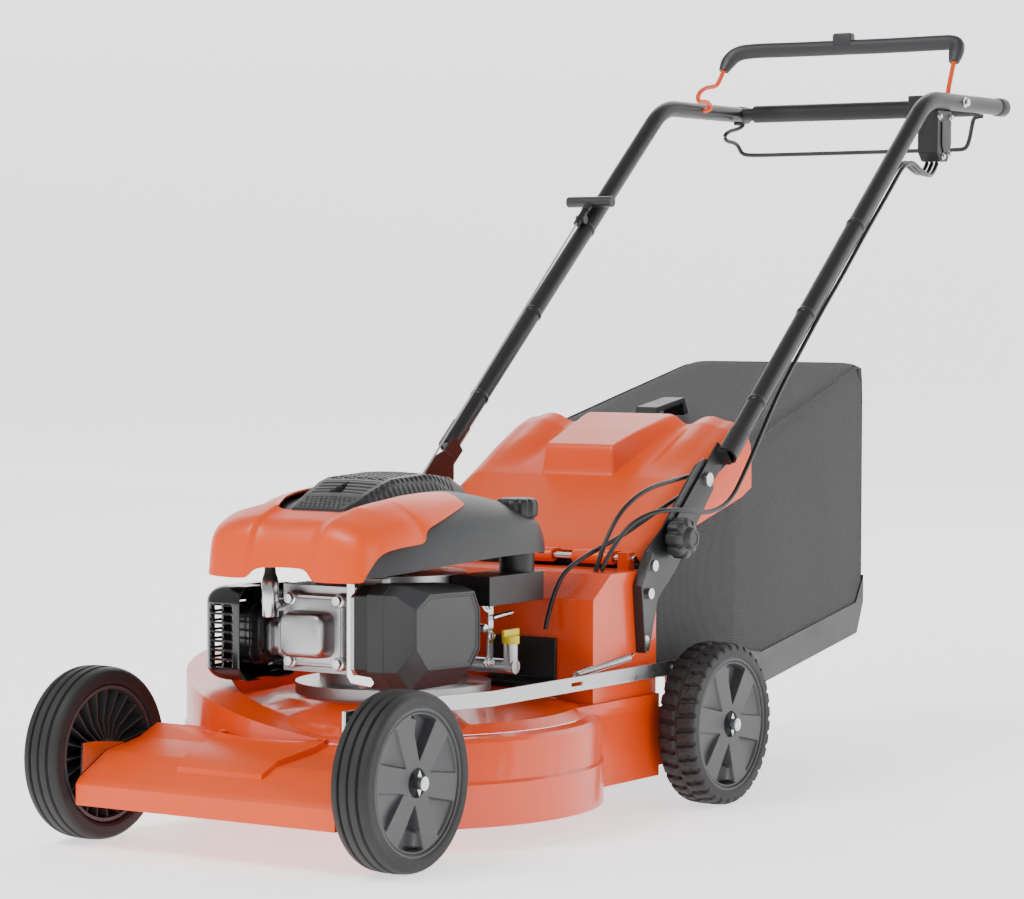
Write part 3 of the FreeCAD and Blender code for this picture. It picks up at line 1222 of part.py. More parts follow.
bag_body = slab("bag_profile", [
    (back("bag_mouth"), "178"), (back("bag_mouth"), "311"), (back(822), "414"), (back(843), "416"),
    (back(847), "454"), (back("bag_end - 21"), "563"), (back("bag_end - 6"), "548"), (back("bag_end"), "252"),
    (back("bag_end - 30"), "213"), (back(924), "172"), (back(800), "190"),
], "-300", "600")
bag_hollow = slab("bag_hollow", [
    (back("bag_mouth - 30"), "182"), (back("bag_mouth - 30"), "304"),
    (back("bag_mouth"), "307"), (back(821), "410"),
    (back(846), "412"), (back(850), "450"), (back("bag_end - 24"), "558"), (back("bag_end - 10"), "546"),
    (back("bag_end - 4"), "214"), (back("bag_end - 27"), "173"), (back(924), "132"), (back(800), "156"),
    (back("bag_mouth"), "182"),
], "-300", "600")
tray_body = slab("tray_profile", [
    (back("bag_mouth"), "176"), (back(800), "150"), (back(924), "127"), (back("bag_end - 24"), "168"),
    (back("bag_end"), "212"), (back("bag_end"), "252"), (back("bag_end - 30"), "213"), (back(924), "172"),
    (back(800), "190"), (back("bag_mouth"), "178"),
], "-300", "600")
bag_space = common("bag_space", bag_hollow, bag_taper("bag_taper_inner", "4"))
fabric_mass = common("fabric_mass", bag_body, bag_taper("bag_taper_fabric", "0"))
node("bag_fabric", cut("fabric_cut", fabric_mass, bag_space))
tray_space = common("tray_space", bag_hollow, bag_taper("tray_taper_inner", "4"))
bag_tray = cut("bag_tray", common("tray_mass", tray_body, bag_taper("bag_taper_tray", "0")), tray_space)
frame_outer = box("frame_outer", ("-bag_half", back("bag_mouth - 5"), "170"),
                  ("2 * bag_half", "5", "142"))
frame_inner = box("frame_inner", ("-bag_half + 22", back("bag_mouth - 10"), "184"),
                  ("2 * (bag_half - 22)", "20", "116"))
frame_ring = cut("frame_ring", frame_outer, frame_inner)
handle_arch = slab("bag_handle_outer", [
    (back(905), "469"), (back(915), "504"), (back(990), "516"), (back(1002), "493.7"),
], "-17", "34")
handle_gap = slab("bag_handle_gap", [
    (back(919), "460"), (back(922), "497"), (back(986), "508"), (back(992), "480"),
], "-20", "40")
node("bag_frame", group("bag_frame_set", frame_ring, bag_tray, cut("bag_handle", handle_arch, handle_gap)))

# ---------------------------------------------------------------- checks and files

doc.recompute()
for thing in doc.Objects:
    for state in thing.State:
        if state in ("Invalid", "Error"):
            raise RuntimeError("%s (%s) failed to build" % (thing.Name, thing.Label))
for name, thing in NODES.items():
    if thing.Shape.isNull() or not thing.Shape.isValid():
        raise RuntimeError("%s has no valid shape" % name)
os.makedirs("parts", exist_ok=True)
for name, thing in NODES.items():
    thing.Shape.exportStep("parts/%s.step" % name)
print(len(NODES), "sub-parts written")
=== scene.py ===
# %% [markdown]
# # A walk-behind lawn mower with its real finishes
# The mower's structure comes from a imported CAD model. This file gives every
# piece its finish, and builds the pieces whose real shape is richer than a
# plain solid: moulded wheels, lugged tyres, pressed and moulded covers, a knitted
# bag, cables and a twisted rope. Each new piece is a surface worked out with
# numpy, so a shape is always a formula that can be read and changed.

# %% The frame and the tools
import json

import bmesh
import bpy
import numpy as np
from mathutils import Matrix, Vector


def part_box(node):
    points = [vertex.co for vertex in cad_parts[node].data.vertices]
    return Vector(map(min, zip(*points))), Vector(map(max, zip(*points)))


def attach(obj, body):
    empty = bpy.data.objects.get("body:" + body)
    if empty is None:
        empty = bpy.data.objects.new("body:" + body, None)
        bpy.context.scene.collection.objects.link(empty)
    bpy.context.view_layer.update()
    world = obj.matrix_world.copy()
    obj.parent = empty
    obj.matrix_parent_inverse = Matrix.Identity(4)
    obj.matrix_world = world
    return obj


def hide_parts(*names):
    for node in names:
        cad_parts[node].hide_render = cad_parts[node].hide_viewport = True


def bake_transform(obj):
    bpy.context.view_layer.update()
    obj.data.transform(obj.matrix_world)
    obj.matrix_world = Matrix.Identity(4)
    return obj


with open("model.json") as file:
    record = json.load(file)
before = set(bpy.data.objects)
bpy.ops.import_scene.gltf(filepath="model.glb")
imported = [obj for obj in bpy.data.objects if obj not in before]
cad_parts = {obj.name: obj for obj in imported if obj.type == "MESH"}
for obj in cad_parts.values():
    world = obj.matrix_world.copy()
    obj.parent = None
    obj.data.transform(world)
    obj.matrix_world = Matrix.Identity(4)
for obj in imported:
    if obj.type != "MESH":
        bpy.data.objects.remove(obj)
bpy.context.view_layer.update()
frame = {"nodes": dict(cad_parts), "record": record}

# %% [markdown]
# ## Where things are
# All measurements of the mower are written in millimetres, with y counted
# from the front axle towards the operator, z from the ground, and x towards
# the operator's left. One function turns them into the model's metres. The front
# axle's place is read from the CAD wheel, so nothing is fitted by eye.

# %% Millimetres from the front axle
MM = 0.001
wheel_low, wheel_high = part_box("front_left_tyre")
AXLE_Y = (wheel_low.y + wheel_high.y) / 2
RADIUS = (wheel_high.z - wheel_low.z) / 2 * 1000
print("front axle at y =", round(AXLE_Y, 4), "m, wheel radius", round(RADIUS, 1), "mm")


def metres(points):
    """Points in millimetres from the front axle, as metres in the model's frame."""
    return np.asarray(points, float) * MM + np.array((0.0, AXLE_Y, 0.0))


# %% [markdown]
# ## Colours and shader nodes
# Colours are written as the sRGB hex values that one reads off a paint card.
# The renderer works in linear light, so one function converts them. Another
# adds a shader node: numbers and colours go straight into its sockets, and a
# socket of an earlier node makes a link.

# %% Colour conversion and the node helper
def linear(code):
    """sRGB hex to linear red, green, blue and alpha: c/12.92 in the dark part, a 2.4 power above it."""
    srgb = np.array([int(code[at:at + 2], 16) for at in (1, 3, 5)]) / 255
    light = np.where(srgb <= 0.04045, srgb / 12.92, ((srgb + 0.055) / 1.055) ** 2.4)
    return (*light.tolist(), 1.0)


def put(tree, kind, sockets=None, **options):
    """Adds a shader node, sets its options, and fills or links its input sockets."""
    node = tree.nodes.new("ShaderNode" + kind)
    for option, value in options.items():
        setattr(node, option, value)
    for key, value in (sockets or {}).items():
        if isinstance(value, bpy.types.NodeSocket):
            tree.links.new(value, node.inputs[key])
        else:
            node.inputs[key].default_value = value
    return node


def start(name, colour, roughness, metallic=0.0, **sockets):
    """A new finish: its tree, its shader, and the coordinates in metres that its patterns use."""
    finish = bpy.data.materials.new(name)
    finish.use_nodes = True
    tree = finish.node_tree
    shader = tree.nodes["Principled BSDF"]
    shader.inputs["Base Color"].default_value = linear(colour)
    shader.inputs["Roughness"].default_value = roughness
    shader.inputs["Metallic"].default_value = metallic
    for key, value in sockets.items():
        shader.inputs[key.replace("_", " ")].default_value = value
    place = put(tree, "TexCoord").outputs["Object"]
    return finish, tree, shader, place


def bumpy(tree, shader, height, depth_mm, strength=1.0):
    """Feeds a height from 0 to 1, worth depth_mm, into the shader's normal."""
    bump = put(tree, "Bump", {"Height": height, "Distance": depth_mm * MM, "Strength": strength})
    tree.links.new(bump.outputs["Normal"], shader.inputs["Normal"])


def patchy(tree, shader, place, dark, light, size_mm, low, high):
    """Lets colour and roughness wander between two values in soft patches of size_mm."""
    noise = put(tree, "TexNoise", {"Vector": place, "Scale": 1000 / size_mm, "Detail": 4.0, "Roughness": 0.55})
    tint = put(tree, "MixRGB", {"Fac": noise.outputs["Fac"], "Color1": linear(dark), "Color2": linear(light)})
    tree.links.new(tint.outputs["Color"], shader.inputs["Base Color"])
    rough = put(tree, "MapRange", {"Value": noise.outputs["Fac"], "From Min": 0.3, "From Max": 0.7,
                                   "To Min": low, "To Max": high})
    tree.links.new(rough.outputs["Result"], shader.inputs["Roughness"])
    return noise


# %% [markdown]
# ## The finishes
# Most of what one sees on a mower is powder coat, moulded plastic and rubber.
# They differ less in colour than in their skin: powder coat has a soft orange
# peel a few millimetres wide, moulded plastic a fine spark-eroded grain, cast
# aluminium a sandy one, and rolled steel long brush marks. Each finish starts
# from that skin.

# %% Painted and coated steel
def powder_coat(name, colour, shade, low, high, peel_mm=2.2, peel_depth=0.04, coat=0.0):
    """Powder coat on sheet steel: a nearly even colour under a soft orange peel."""
    finish, tree, shader, place = start(name, colour, low, IOR=1.5, Coat_Weight=coat, Coat_Roughness=0.12)
    patchy(tree, shader, place, shade, colour, 180, low, high)
    peel = put(tree, "TexNoise", {"Vector": place, "Scale": 1000 / peel_mm, "Detail": 1.0})
    bumpy(tree, shader, peel.outputs["Fac"], peel_depth)
    return finish


orange_powder = powder_coat("orange_powder_coat_on_pressed_steel", "#E84800", "#DF4000", 0.26, 0.38, coat=0.35)
black_powder = powder_coat("black_powder_coat_on_steel_tube", "#1B1C1D", "#161718", 0.34, 0.46)
gloss_enamel = powder_coat("black_stove_enamel", "#1E1E20", "#18181A", 0.12, 0.22, 3.0, 0.02, coat=0.5)
orange_wire_coat = powder_coat("orange_dipped_wire", "#EC4E00", "#E24600", 0.3, 0.4, 1.5, 0.02)


# %% Moulded plastics and rubber
def moulded(name, colour, shade, low, high, grain_mm=0.9, grain_depth=0.05, **sockets):
    """Injection moulded plastic: spark-eroded grain, drawn coarser than the real 0.1 mm so that it shows."""
    finish, tree, shader, place = start(name, colour, low, IOR=1.49, **sockets)
    patchy(tree, shader, place, shade, colour, 120, low, high)
    grain = put(tree, "TexNoise", {"Vector": place, "Scale": 1000 / grain_mm, "Detail": 2.0})
    bumpy(tree, shader, grain.outputs["Fac"], grain_depth)
    return finish


orange_plastic = moulded("orange_moulded_polypropylene", "#EE5000", "#E64800", 0.32, 0.42, 1.4, 0.04)
grey_plastic = moulded("dark_grey_moulded_polypropylene", "#2E2F31", "#28292B", 0.4, 0.52)
black_plastic = moulded("black_moulded_nylon", "#1A1A1C", "#151517", 0.38, 0.5)
rim_plastic = moulded("satin_grey_moulded_wheel", "#434446", "#3D3E40", 0.42, 0.55, 1.2, 0.04)
yellow_plastic = moulded("yellow_moulded_dipstick", "#E4D41C", "#D8C414", 0.3, 0.4)
tyre_rubber = moulded("cured_tyre_rubber", "#222223", "#1B1B1C", 0.55, 0.72, 1.6, 0.08)
soft_rubber = moulded("soft_black_rubber", "#171718", "#131314", 0.5, 0.65)
cable_pvc = moulded("black_pvc_cable_sheath", "#18181A", "#131314", 0.3, 0.42, 1.0, 0.02)


# %% Bare metals
def metal(name, colour, shade, low, high, grain_mm, grain_depth, stretch=(1.0, 1.0, 1.0)):
    """Bare metal with a skin of its own: sandy when cast, long marks along one axis when rolled."""
    finish, tree, shader, place = start(name, colour, low, 1.0)
    patchy(tree, shader, place, shade, colour, 40, low, high)
    marks = put(tree, "Mapping", {"Vector": place, "Scale": stretch})
    grain = put(tree, "TexNoise", {"Vector": marks.outputs["Vector"], "Scale": 1000 / grain_mm, "Detail": 4.0})
    bumpy(tree, shader, grain.outputs["Fac"], grain_depth)
    return finish


cast_alloy = metal("sand_blasted_cast_aluminium", "#D0D1D3", "#A9AAAC", 0.3, 0.46, 1.1, 0.12)
bright_zinc = metal("bright_zinc_plate", "#DCDEE0", "#C4C6C8", 0.14, 0.26, 2.0, 0.02)
rolled_steel = metal("rolled_zinc_plated_strip", "#C9CACB", "#ABACAE", 0.24, 0.4, 1.4, 0.03, (1.0, 0.05, 1.0))
polished_steel = metal("bright_heat_shield_steel", "#E2E3E4", "#CFD0D2", 0.08, 0.2, 4.0, 0.01)
ground_steel = metal("ground_blade_steel", "#8A8C8F", "#6E7073", 0.3, 0.45, 1.2, 0.04, (0.1, 1.0, 1.0))
dark_iron = metal("oiled_cast_iron", "#4A4948", "#3A3938", 0.45, 0.6, 1.3, 0.15)

# %% [markdown]
# ## From CAD solid to finished piece
# A CAD solid has knife-sharp edges, and nothing real has. A copy of its mesh
# is merged into clean faces and gets a small bevel, so every edge catches a
# thin line of light, as a pressed or moulded one does.

# %% Bevelled copies of CAD nodes
def body_of(node):
    """The CAD body that a node belongs to."""
    groups = frame["record"]["behaviour"]["bodies"]
    return next(body for body, nodes in groups.items() if node in nodes)


WELD = 2e-6


def shown(piece, finish, body, *stands_for):
    """Gives a piece its finish and its body, and hides the CAD nodes that it stands for.
    """
    piece.data.materials.clear()
    piece.data.materials.append(finish)
    if body:
        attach(piece, body)
    if stands_for:
        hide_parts(*stands_for)
    return piece


def soften(piece, width_mm, segments=3, angle=30):
    """A live bevel that rounds every edge sharper than an angle."""
    bevel = piece.modifiers.new("Edges", "BEVEL")
    bevel.limit_method = "ANGLE"
    bevel.angle_limit = np.radians(angle)
    bevel.width = width_mm * MM
    bevel.segments = segments
    bevel.harden_normals = True
    return piece


def edge_broken(node, finish, width_mm, angle=35):
    """A copy of a CAD node with its facets merged and its edges rounded by width_mm."""
    mesh = frame["nodes"][node].data.copy()
    mesh.name = node + "_finished"
    work = bmesh.new()
    work.from_mesh(mesh)
    bmesh.ops.remove_doubles(work, verts=work.verts, dist=WELD)
    bmesh.ops.dissolve_limit(work, angle_limit=np.radians(0.6), verts=work.verts, edges=work.edges)
    work.to_mesh(mesh)
    work.free()
    mesh.shade_smooth()
    mesh.set_sharp_from_angle(angle=np.radians(angle))
    piece = bpy.data.objects.new(node + "_finished", mesh)
    bpy.context.scene.collection.objects.link(piece)
    soften(piece, width_mm, 2, angle)
    return shown(piece, finish, body_of(node), node)


EDGES = {
    "deck_shell": (orange_powder, 2.5), "front_bumper": (orange_plastic, 4.0), "rear_housing": (orange_powder, 4.0),
    "belt_cover": (black_plastic, 1.5), "handle_brackets": (black_powder, 0.8), "crankcase": (cast_alloy, 1.5),
    "cylinder_head": (cast_alloy, 0.6), "carburettor": (cast_alloy, 1.0), "fuel_tank": (black_plastic, 4.0),
    "dipstick": (yellow_plastic, 1.0), "link_bar": (rolled_steel, 0.5), "gearbox": (cast_alloy, 2.0),
    "blade": (ground_steel, 0.4), "control_box": (black_plastic, 2.5), "drive_lever": (black_plastic, 2.0),
    "starter_grip": (grey_plastic, 2.0), "bag_frame": (black_plastic, 2.0),
}
for node, (finish, width) in EDGES.items():
    edge_broken(node, finish, width)
print(len(EDGES), "nodes with rounded edges")

# %% Nodes whose CAD shape is already right
PLAIN = {
    "front_axle": bright_zinc, "rear_axle": bright_zinc, "frame_bolts": bright_zinc,
    "piston": cast_alloy, "air_filter_element": soft_rubber, "crankshaft": dark_iron,
    "flywheel": dark_iron, "blade_adapter": dark_iron, "blade_bolt": bright_zinc, "gearbox_pulley": dark_iron,
    "drive_belt": soft_rubber, "handle_tube_left": black_powder, "handle_tube_right": black_powder,
    "cross_bar": soft_rubber,
}
for node, finish in PLAIN.items():
    frame["nodes"][node].data.materials.clear()
    frame["nodes"][node].data.materials.append(finish)

# %% [markdown]
# ## Surfaces from grids
# Every new piece below is a grid of points: rows along one parameter, columns
# along another. A whole grid comes out of one numpy formula, and neighbouring
# points become four-sided faces. Ends that meet are merged, so the surface is
# closed, and edges sharper than an angle keep a crisp shade.

# %% Grid to mesh
def quads(rows, columns, wrap_rows=False, wrap_columns=False):
    """Corner numbers of the faces of a grid; a wrapped side joins its end to its start."""
    index = np.arange(rows * columns).reshape(rows, columns)
    if wrap_rows:
        index = np.vstack((index, index[:1]))
    if wrap_columns:
        index = np.hstack((index, index[:, :1]))
    return np.stack((index[:-1, :-1], index[:-1, 1:], index[1:, 1:], index[1:, :-1]), -1).reshape(-1, 4)


def patch(points, wrap_rows=False, wrap_columns=False, caps=False):
    """A grid of points in millimetres with its faces; caps close the first and last row."""
    points = np.asarray(points, float)
    rows, columns = points.shape[:2]
    faces = quads(rows, columns, wrap_rows, wrap_columns).tolist()
    if caps:
        faces += [list(range(columns)), list(range((rows - 1) * columns, rows * columns))]
    return points.reshape(-1, 3), faces


def build(name, patches, finish, body, *stands_for, sharp=35):
    """One piece from several patches: merged at its seams, facing outwards, smooth below the sharp angle."""
    points, faces, first = [], [], 0
    for some_points, some_faces in patches:
        points.append(some_points)
        faces += [[corner + first for corner in face] for face in some_faces]
        first += len(some_points)
    mesh = bpy.data.meshes.new(name)
    mesh.from_pydata(metres(np.concatenate(points)).tolist(), [], faces)
    work = bmesh.new()
    work.from_mesh(mesh)
    bmesh.ops.remove_doubles(work, verts=work.verts, dist=WELD)
    bmesh.ops.recalc_face_normals(work, faces=work.faces)
    work.to_mesh(mesh)
    work.free()
    mesh.shade_smooth()
    mesh.set_sharp_from_angle(angle=np.radians(sharp))
    piece = bpy.data.objects.new(name, mesh)
    bpy.context.scene.collection.objects.link(piece)
    return shown(piece, finish, body, *stands_for)


def spun(x, r, turns, centre, axis=0):
    """A profile of distances x along an axis and radii r from it, turned about the axis through centre."""
    x, r = np.broadcast_arrays(np.asarray(x, float), np.asarray(r, float))
    if x.ndim == 1:
        x, r = np.tile(x[:, None], (1, turns)), np.tile(r[:, None], (1, turns))
    angle = np.linspace(0, 2 * np.pi, turns, endpoint=False)
    along, one, two = x, r * np.cos(angle), r * np.sin(angle)
    order = {0: (along, one, two), 1: (two, along, one), 2: (one, two, along)}[axis]
    return np.stack(order, -1) + np.array(centre)


def smooth(value):
    """Smoothstep: 0 below 0, 1 above 1, and 3t^2 - 2t^3 between."""
    value = np.clip(value, 0, 1)
    return value * value * (3 - 2 * value)


def even(points, count):
    """Resamples a polyline to points at equal distances along it."""
    steps = np.concatenate(([0], np.cumsum(np.linalg.norm(np.diff(points, axis=0), axis=1))))
    at = np.linspace(0, steps[-1], count)
    return np.stack([np.interp(at, steps, points[:, k]) for k in range(points.shape[1])], -1)


# %% [markdown]
# ## Tyres
# The front tyres are moulded with four ribs around the tread, the driven rear
# ones with two staggered rows of lugs. Both start from the same squashed
# ring section, a superellipse. Grooves and lug gaps only push its points towards
# the axle, so one grid makes the whole tyre.

# %% Tyre section
TYRE_SEAT = 82.0
FRONT_WIDTH, REAR_WIDTH = 52.0, 53.0
FRONT_X, REAR_X, REAR_Y = 226.0, 251.5, 672.0


def squarer(value, power):
    """Keeps the sign of a cosine or sine and raises its size to a power; below 1 it turns a circle squarer."""
    return np.sign(value) * np.abs(value) ** power


def tyre_section(width, count):
    """Closed section as x and r: superellipse |x/a|^4 + |r/b|^4.8 = 1 between the seat and the tread."""
    angle = np.linspace(0, 2 * np.pi, 4000)
    x = width / 2 * squarer(np.cos(angle), 0.5)
    middle, half = (RADIUS + TYRE_SEAT) / 2, (RADIUS - TYRE_SEAT) / 2
    r = middle + half * squarer(np.sin(angle), 0.42)
    return even(np.stack((x, r), -1), count + 1)[:-1].T


def sidewall_rings(x, r, width):
    """Two raised rings, 0.5 and 0.35 mm high, that the mould leaves on each sidewall."""
    near = np.exp(-((r - 88.6) / 0.7) ** 2) + 0.7 * np.exp(-((r - 91.4) / 0.5) ** 2)
    return x + np.sign(x) * 0.5 * near * (np.abs(x) > width / 2 - 4)


# %% Ribbed front tyres
def ribbed_tyre(node, side):
    """Four ribs: the tread sinks by 3.6 mm in grooves about 3 mm wide at -13, 0 and 13 mm."""
    x, r = tyre_section(FRONT_WIDTH, 210)
    groove = sum(np.exp(-((x - at) / 1.75) ** 4) for at in (-13.0, 0.0, 13.0))
    r = r - 3.6 * groove * (r > 97) - 0.9 * (x / 26) ** 2 * (r > 97)
    x = sidewall_rings(x, r, FRONT_WIDTH)
    ring = patch(spun(x, r, 132, (side * FRONT_X, 0.0, RADIUS)), True, True)
    return build(node + "_moulded", [ring], tyre_rubber, body_of(node), node, sharp=50)


# %% Lugged rear tyres
def lugged_tyre(node, side):
    """34 lugs a row, the second row half a pitch on: gaps 4.2 mm deep between lugs, 2.6 mm along the middle."""
    x, r = tyre_section(REAR_WIDTH, 120)
    turns, lugs = 408, 34
    angle = np.linspace(0, 2 * np.pi, turns, endpoint=False)[None, :]
    x, r = np.tile(x[:, None], (1, turns)), np.tile(r[:, None], (1, turns))
    phase = (angle * lugs / (2 * np.pi) + 0.5 * (x > 0) + 0.006 * np.abs(x)) % 1.0
    far = np.abs(phase - 0.5)
    gap = 1 - smooth((far - 0.12) / 0.07)
    middle = np.exp(-(x / 2.2) ** 4)
    edge = smooth((far - 0.24) / 0.05) * (1 - smooth((far - 0.32) / 0.05))
    block = edge * smooth((np.abs(x) - 6) / 2) * (1 - smooth((np.abs(x) - 19) / 2))
    wall = smooth((r - 95.5) / 3.0)
    r = r - wall * np.maximum(4.2 * gap * (np.abs(x) > 1.5), 2.6 * middle) - 0.9 * block * wall
    x = sidewall_rings(x, r, REAR_WIDTH)
    ring = patch(spun(x, r, turns, (side * REAR_X, REAR_Y, RADIUS)), True, True)
    return build(node + "_moulded", [ring], tyre_rubber, body_of(node), node, sharp=50)


for side, name in ((1, "left"), (-1, "right")):
    ribbed_tyre("front_%s_tyre" % name, side)
    lugged_tyre("rear_%s_tyre" % name, side)
print("four tyres")

# %% [markdown]
# ## Rims
# The moulded rim has a flat disc with six pockets between six broad spokes. Two
# opposite pockets are deep and pointed, with a slanted facet, and the other four
# have floors that slope up to the outer ring. The disc is a height map over radius
# and angle: each pocket is a depth that starts at the pocket's straight sides.

# %% Pockets of the disc
def pocket_depth(r, angle, side):
    """Depth of the six pockets: floor depth times a steep wall along each pocket's edges."""
    depth = np.zeros_like(r)
    for number in range(6):
        turn = np.radians(80 - 60 * number)
        off = (side * angle - turn + np.pi) % (2 * np.pi) - np.pi
        across, out = r * np.sin(off), r * np.cos(off)
        deep = number in (0, 3)
        half = (out - (24 if deep else 27)) * (0.50 if deep else 0.52)
        inside = np.minimum(half - np.abs(across), (78.5 - r) * 1.1)
        inside = np.where(out > 0, inside, -1.0)
        if deep:
            facet = smooth((across - 1.0) / 9.0) * smooth((out - 50) / 7.0) * smooth((76 - out) / 5.0)
            floor = 13.0 * (1 - 0.68 * facet)
        else:
            floor = 2.2 + 8.5 * np.clip((half + across) / 30, 0, 1) * np.clip((82 - r) / 46, 0, 1)
        depth = np.maximum(depth, floor * smooth(inside / 2.2))
    return depth


# %% Disc, ring, hub and ribs
def moulded_rim(node, side, width, x, y):
    """Outer height map, lip, barrel and inner dish of a rim, with 24 thin ribs on its inner side."""
    face, back = width / 2 - 3, -(width / 2 - 4)
    turns = 360
    angle = np.linspace(0, 2 * np.pi, turns, endpoint=False)[None, :]
    radii = np.concatenate((np.linspace(17.5, 80, 92), (81.5, 82.2, 83.0, 84.6, 85.6, 86.0)))[:, None]
    r = np.tile(radii, (1, turns))
    disc = face - pocket_depth(r, np.tile(angle, (len(radii), 1)), side) * (r < 81)
    lift = np.interp(radii[:, 0], (80, 81.5, 82.2, 83.0, 84.6, 85.6, 86.0), (0, -1.2, -1.2, 1.4, 2.0, 1.6, 0.6))
    disc = disc + lift[:, None]
    centre = (x, y, RADIUS)
    outer = spun(side * disc, r, turns, centre)
    hub_x = np.array((face, face - 0.6, face - 6, face - 6))
    hub = spun(side * hub_x, np.array((17.5, 16.9, 16.2, 6.05)), 72, centre)
    inner_x = np.array((face + 0.6, face - 1, back, back, face - 16, face - 17, face - 17, back + 1, back, back,
                        face - 6))
    inner_r = np.array((86.0, 82.0, 82.0, 78.0, 76.5, 74.0, 18.5, 17.5, 16.5, 6.05, 6.05))
    inner = spun(side * inner_x, inner_r, 144, centre)
    patches = [patch(outer, False, True), patch(hub, False, True), patch(inner, False, True)]
    for turn in np.linspace(0, 2 * np.pi, 24, endpoint=False):
        shape = np.array(((face - 16, 17), (back + 4, 17), (back + 9, 40), (back + 2, 77), (face - 16, 77)))
        rib = np.stack([np.stack((side * shape[:, 0], shape[:, 1] * np.cos(turn) - shift * np.sin(turn),
                                  shape[:, 1] * np.sin(turn) + shift * np.cos(turn)), -1) for shift in (-0.8, 0.8)])
        patches.append(patch(rib + np.array(centre), False, True, caps=True))
    return build(node + "_moulded", patches, rim_plastic, body_of(node), node, sharp=28)


for side, name in ((1, "left"), (-1, "right")):
    moulded_rim("front_%s_rim" % name, side, FRONT_WIDTH, side * FRONT_X, 0.0)
    moulded_rim("rear_%s_rim" % name, side, REAR_WIDTH, side * REAR_X, REAR_Y)
print("four rims")


# %% Washer and domed cap on each axle end
def axle_cap(name, side, x, y, body):
    """A diamond washer 1.2 mm thick under a domed nut: a dome over a short cylinder."""
    lean, reach = np.array((0, 0.5, 1, 1.5)) * np.pi, np.array((8.5, 15, 8.5, 15))
    plate = np.stack([np.stack((np.full(4, x + side * at), y + reach * np.cos(lean), RADIUS + reach * np.sin(lean)), -1)
                      for at in (0, 1.2)])
    cap_x = side * np.array((1.2, 1.2, 4.0, 5.6, 7.4, 8.6, 9.4, 9.8))
    cap_r = np.array((0.01, 7.4, 7.4, 6.6, 6.2, 5.0, 3.0, 0.01))
    cap = spun(cap_x, cap_r, 48, (x, y, RADIUS))
    return build(name, [patch(plate, False, True, caps=True), patch(cap, False, True)], bright_zinc, body, sharp=40)


for side, name in ((1, "left"), (-1, "right")):
    axle_cap("front_%s_axle_cap" % name, side, side * 251.0, 0.0, "front_%s_wheel" % name)
    axle_cap("rear_%s_axle_cap" % name, side, side * 277.0, REAR_Y, "rear_%s_wheel" % name)

# %% [markdown]
# ## Moulded covers as spline skins
# The covers of the engine and the flap are soft shapes with a few firm creases.
# A net of control points is pulled into a quadratic B-spline surface: where the
# net's rows stand far apart the skin is soft, and where two rows nearly touch
# it makes a crease. A wall is then added on the inner side.

# %% Spline skins
def pull(count, samples, degree=2):
    """Weights of a clamped uniform B-spline, by the Cox-de Boor recurrence, one row for each sample."""
    knots = np.concatenate((np.zeros(degree), np.linspace(0, 1, count - degree + 1), np.ones(degree)))
    t = np.minimum(np.linspace(0, 1, samples), 1 - 1e-9)[:, None]
    weights = ((t >= knots[:-1]) & (t < knots[1:])).astype(float)
    for power in range(1, degree + 1):
        n = len(knots) - 1 - power
        rise, fall = knots[power:power + n] - knots[:n], knots[power + 1:power + 1 + n] - knots[1:1 + n]
        up = np.where(rise > 0, (t - knots[:n]) / np.where(rise > 0, rise, 1), 0)
        down = np.where(fall > 0, (knots[power + 1:power + 1 + n] - t) / np.where(fall > 0, fall, 1), 0)
        weights = up * weights[:, :n] + down * weights[:, 1:n + 1]
    return weights


def skin(net, rows, columns, degree=2):
    """The surface that a net of control points pulls: weights by rows, times the net, times weights by columns."""
    net = np.asarray(net, float)
    return np.einsum("ri,ijk,cj->rck", pull(len(net), rows, degree), net, pull(net.shape[1], columns, degree))


def face_towards(piece, direction):
    """Turns all faces over if, added up by area, they look away from a direction."""
    mesh = piece.data
    normals, areas = np.zeros(len(mesh.polygons) * 3), np.zeros(len(mesh.polygons))
    mesh.polygons.foreach_get("normal", normals)
    mesh.polygons.foreach_get("area", areas)
    if (normals.reshape(-1, 3) * areas[:, None]).sum(0) @ np.array(direction, float) < 0:
        mesh.flip_normals()
    return piece


def walled(piece, wall_mm, direction, bevel_mm=0.0):
    """Gives an open skin a wall on its inner side, and rounds the wall's rim."""
    face_towards(piece, direction)
    wall = piece.modifiers.new("Wall", "SOLIDIFY")
    wall.thickness = wall_mm * MM
    wall.offset = -1.0
    wall.use_even_offset = True
    if bevel_mm:
        soften(piece, bevel_mm, 2, 50)
    return piece


# %% [markdown]
# ## Engine covers
# Three mouldings make the top of the engine: an orange shroud in front with two
# lobes and a recessed middle, whose tails run back along the grille, a dark
# cover behind and below it, and the black grille through which the fan breathes.

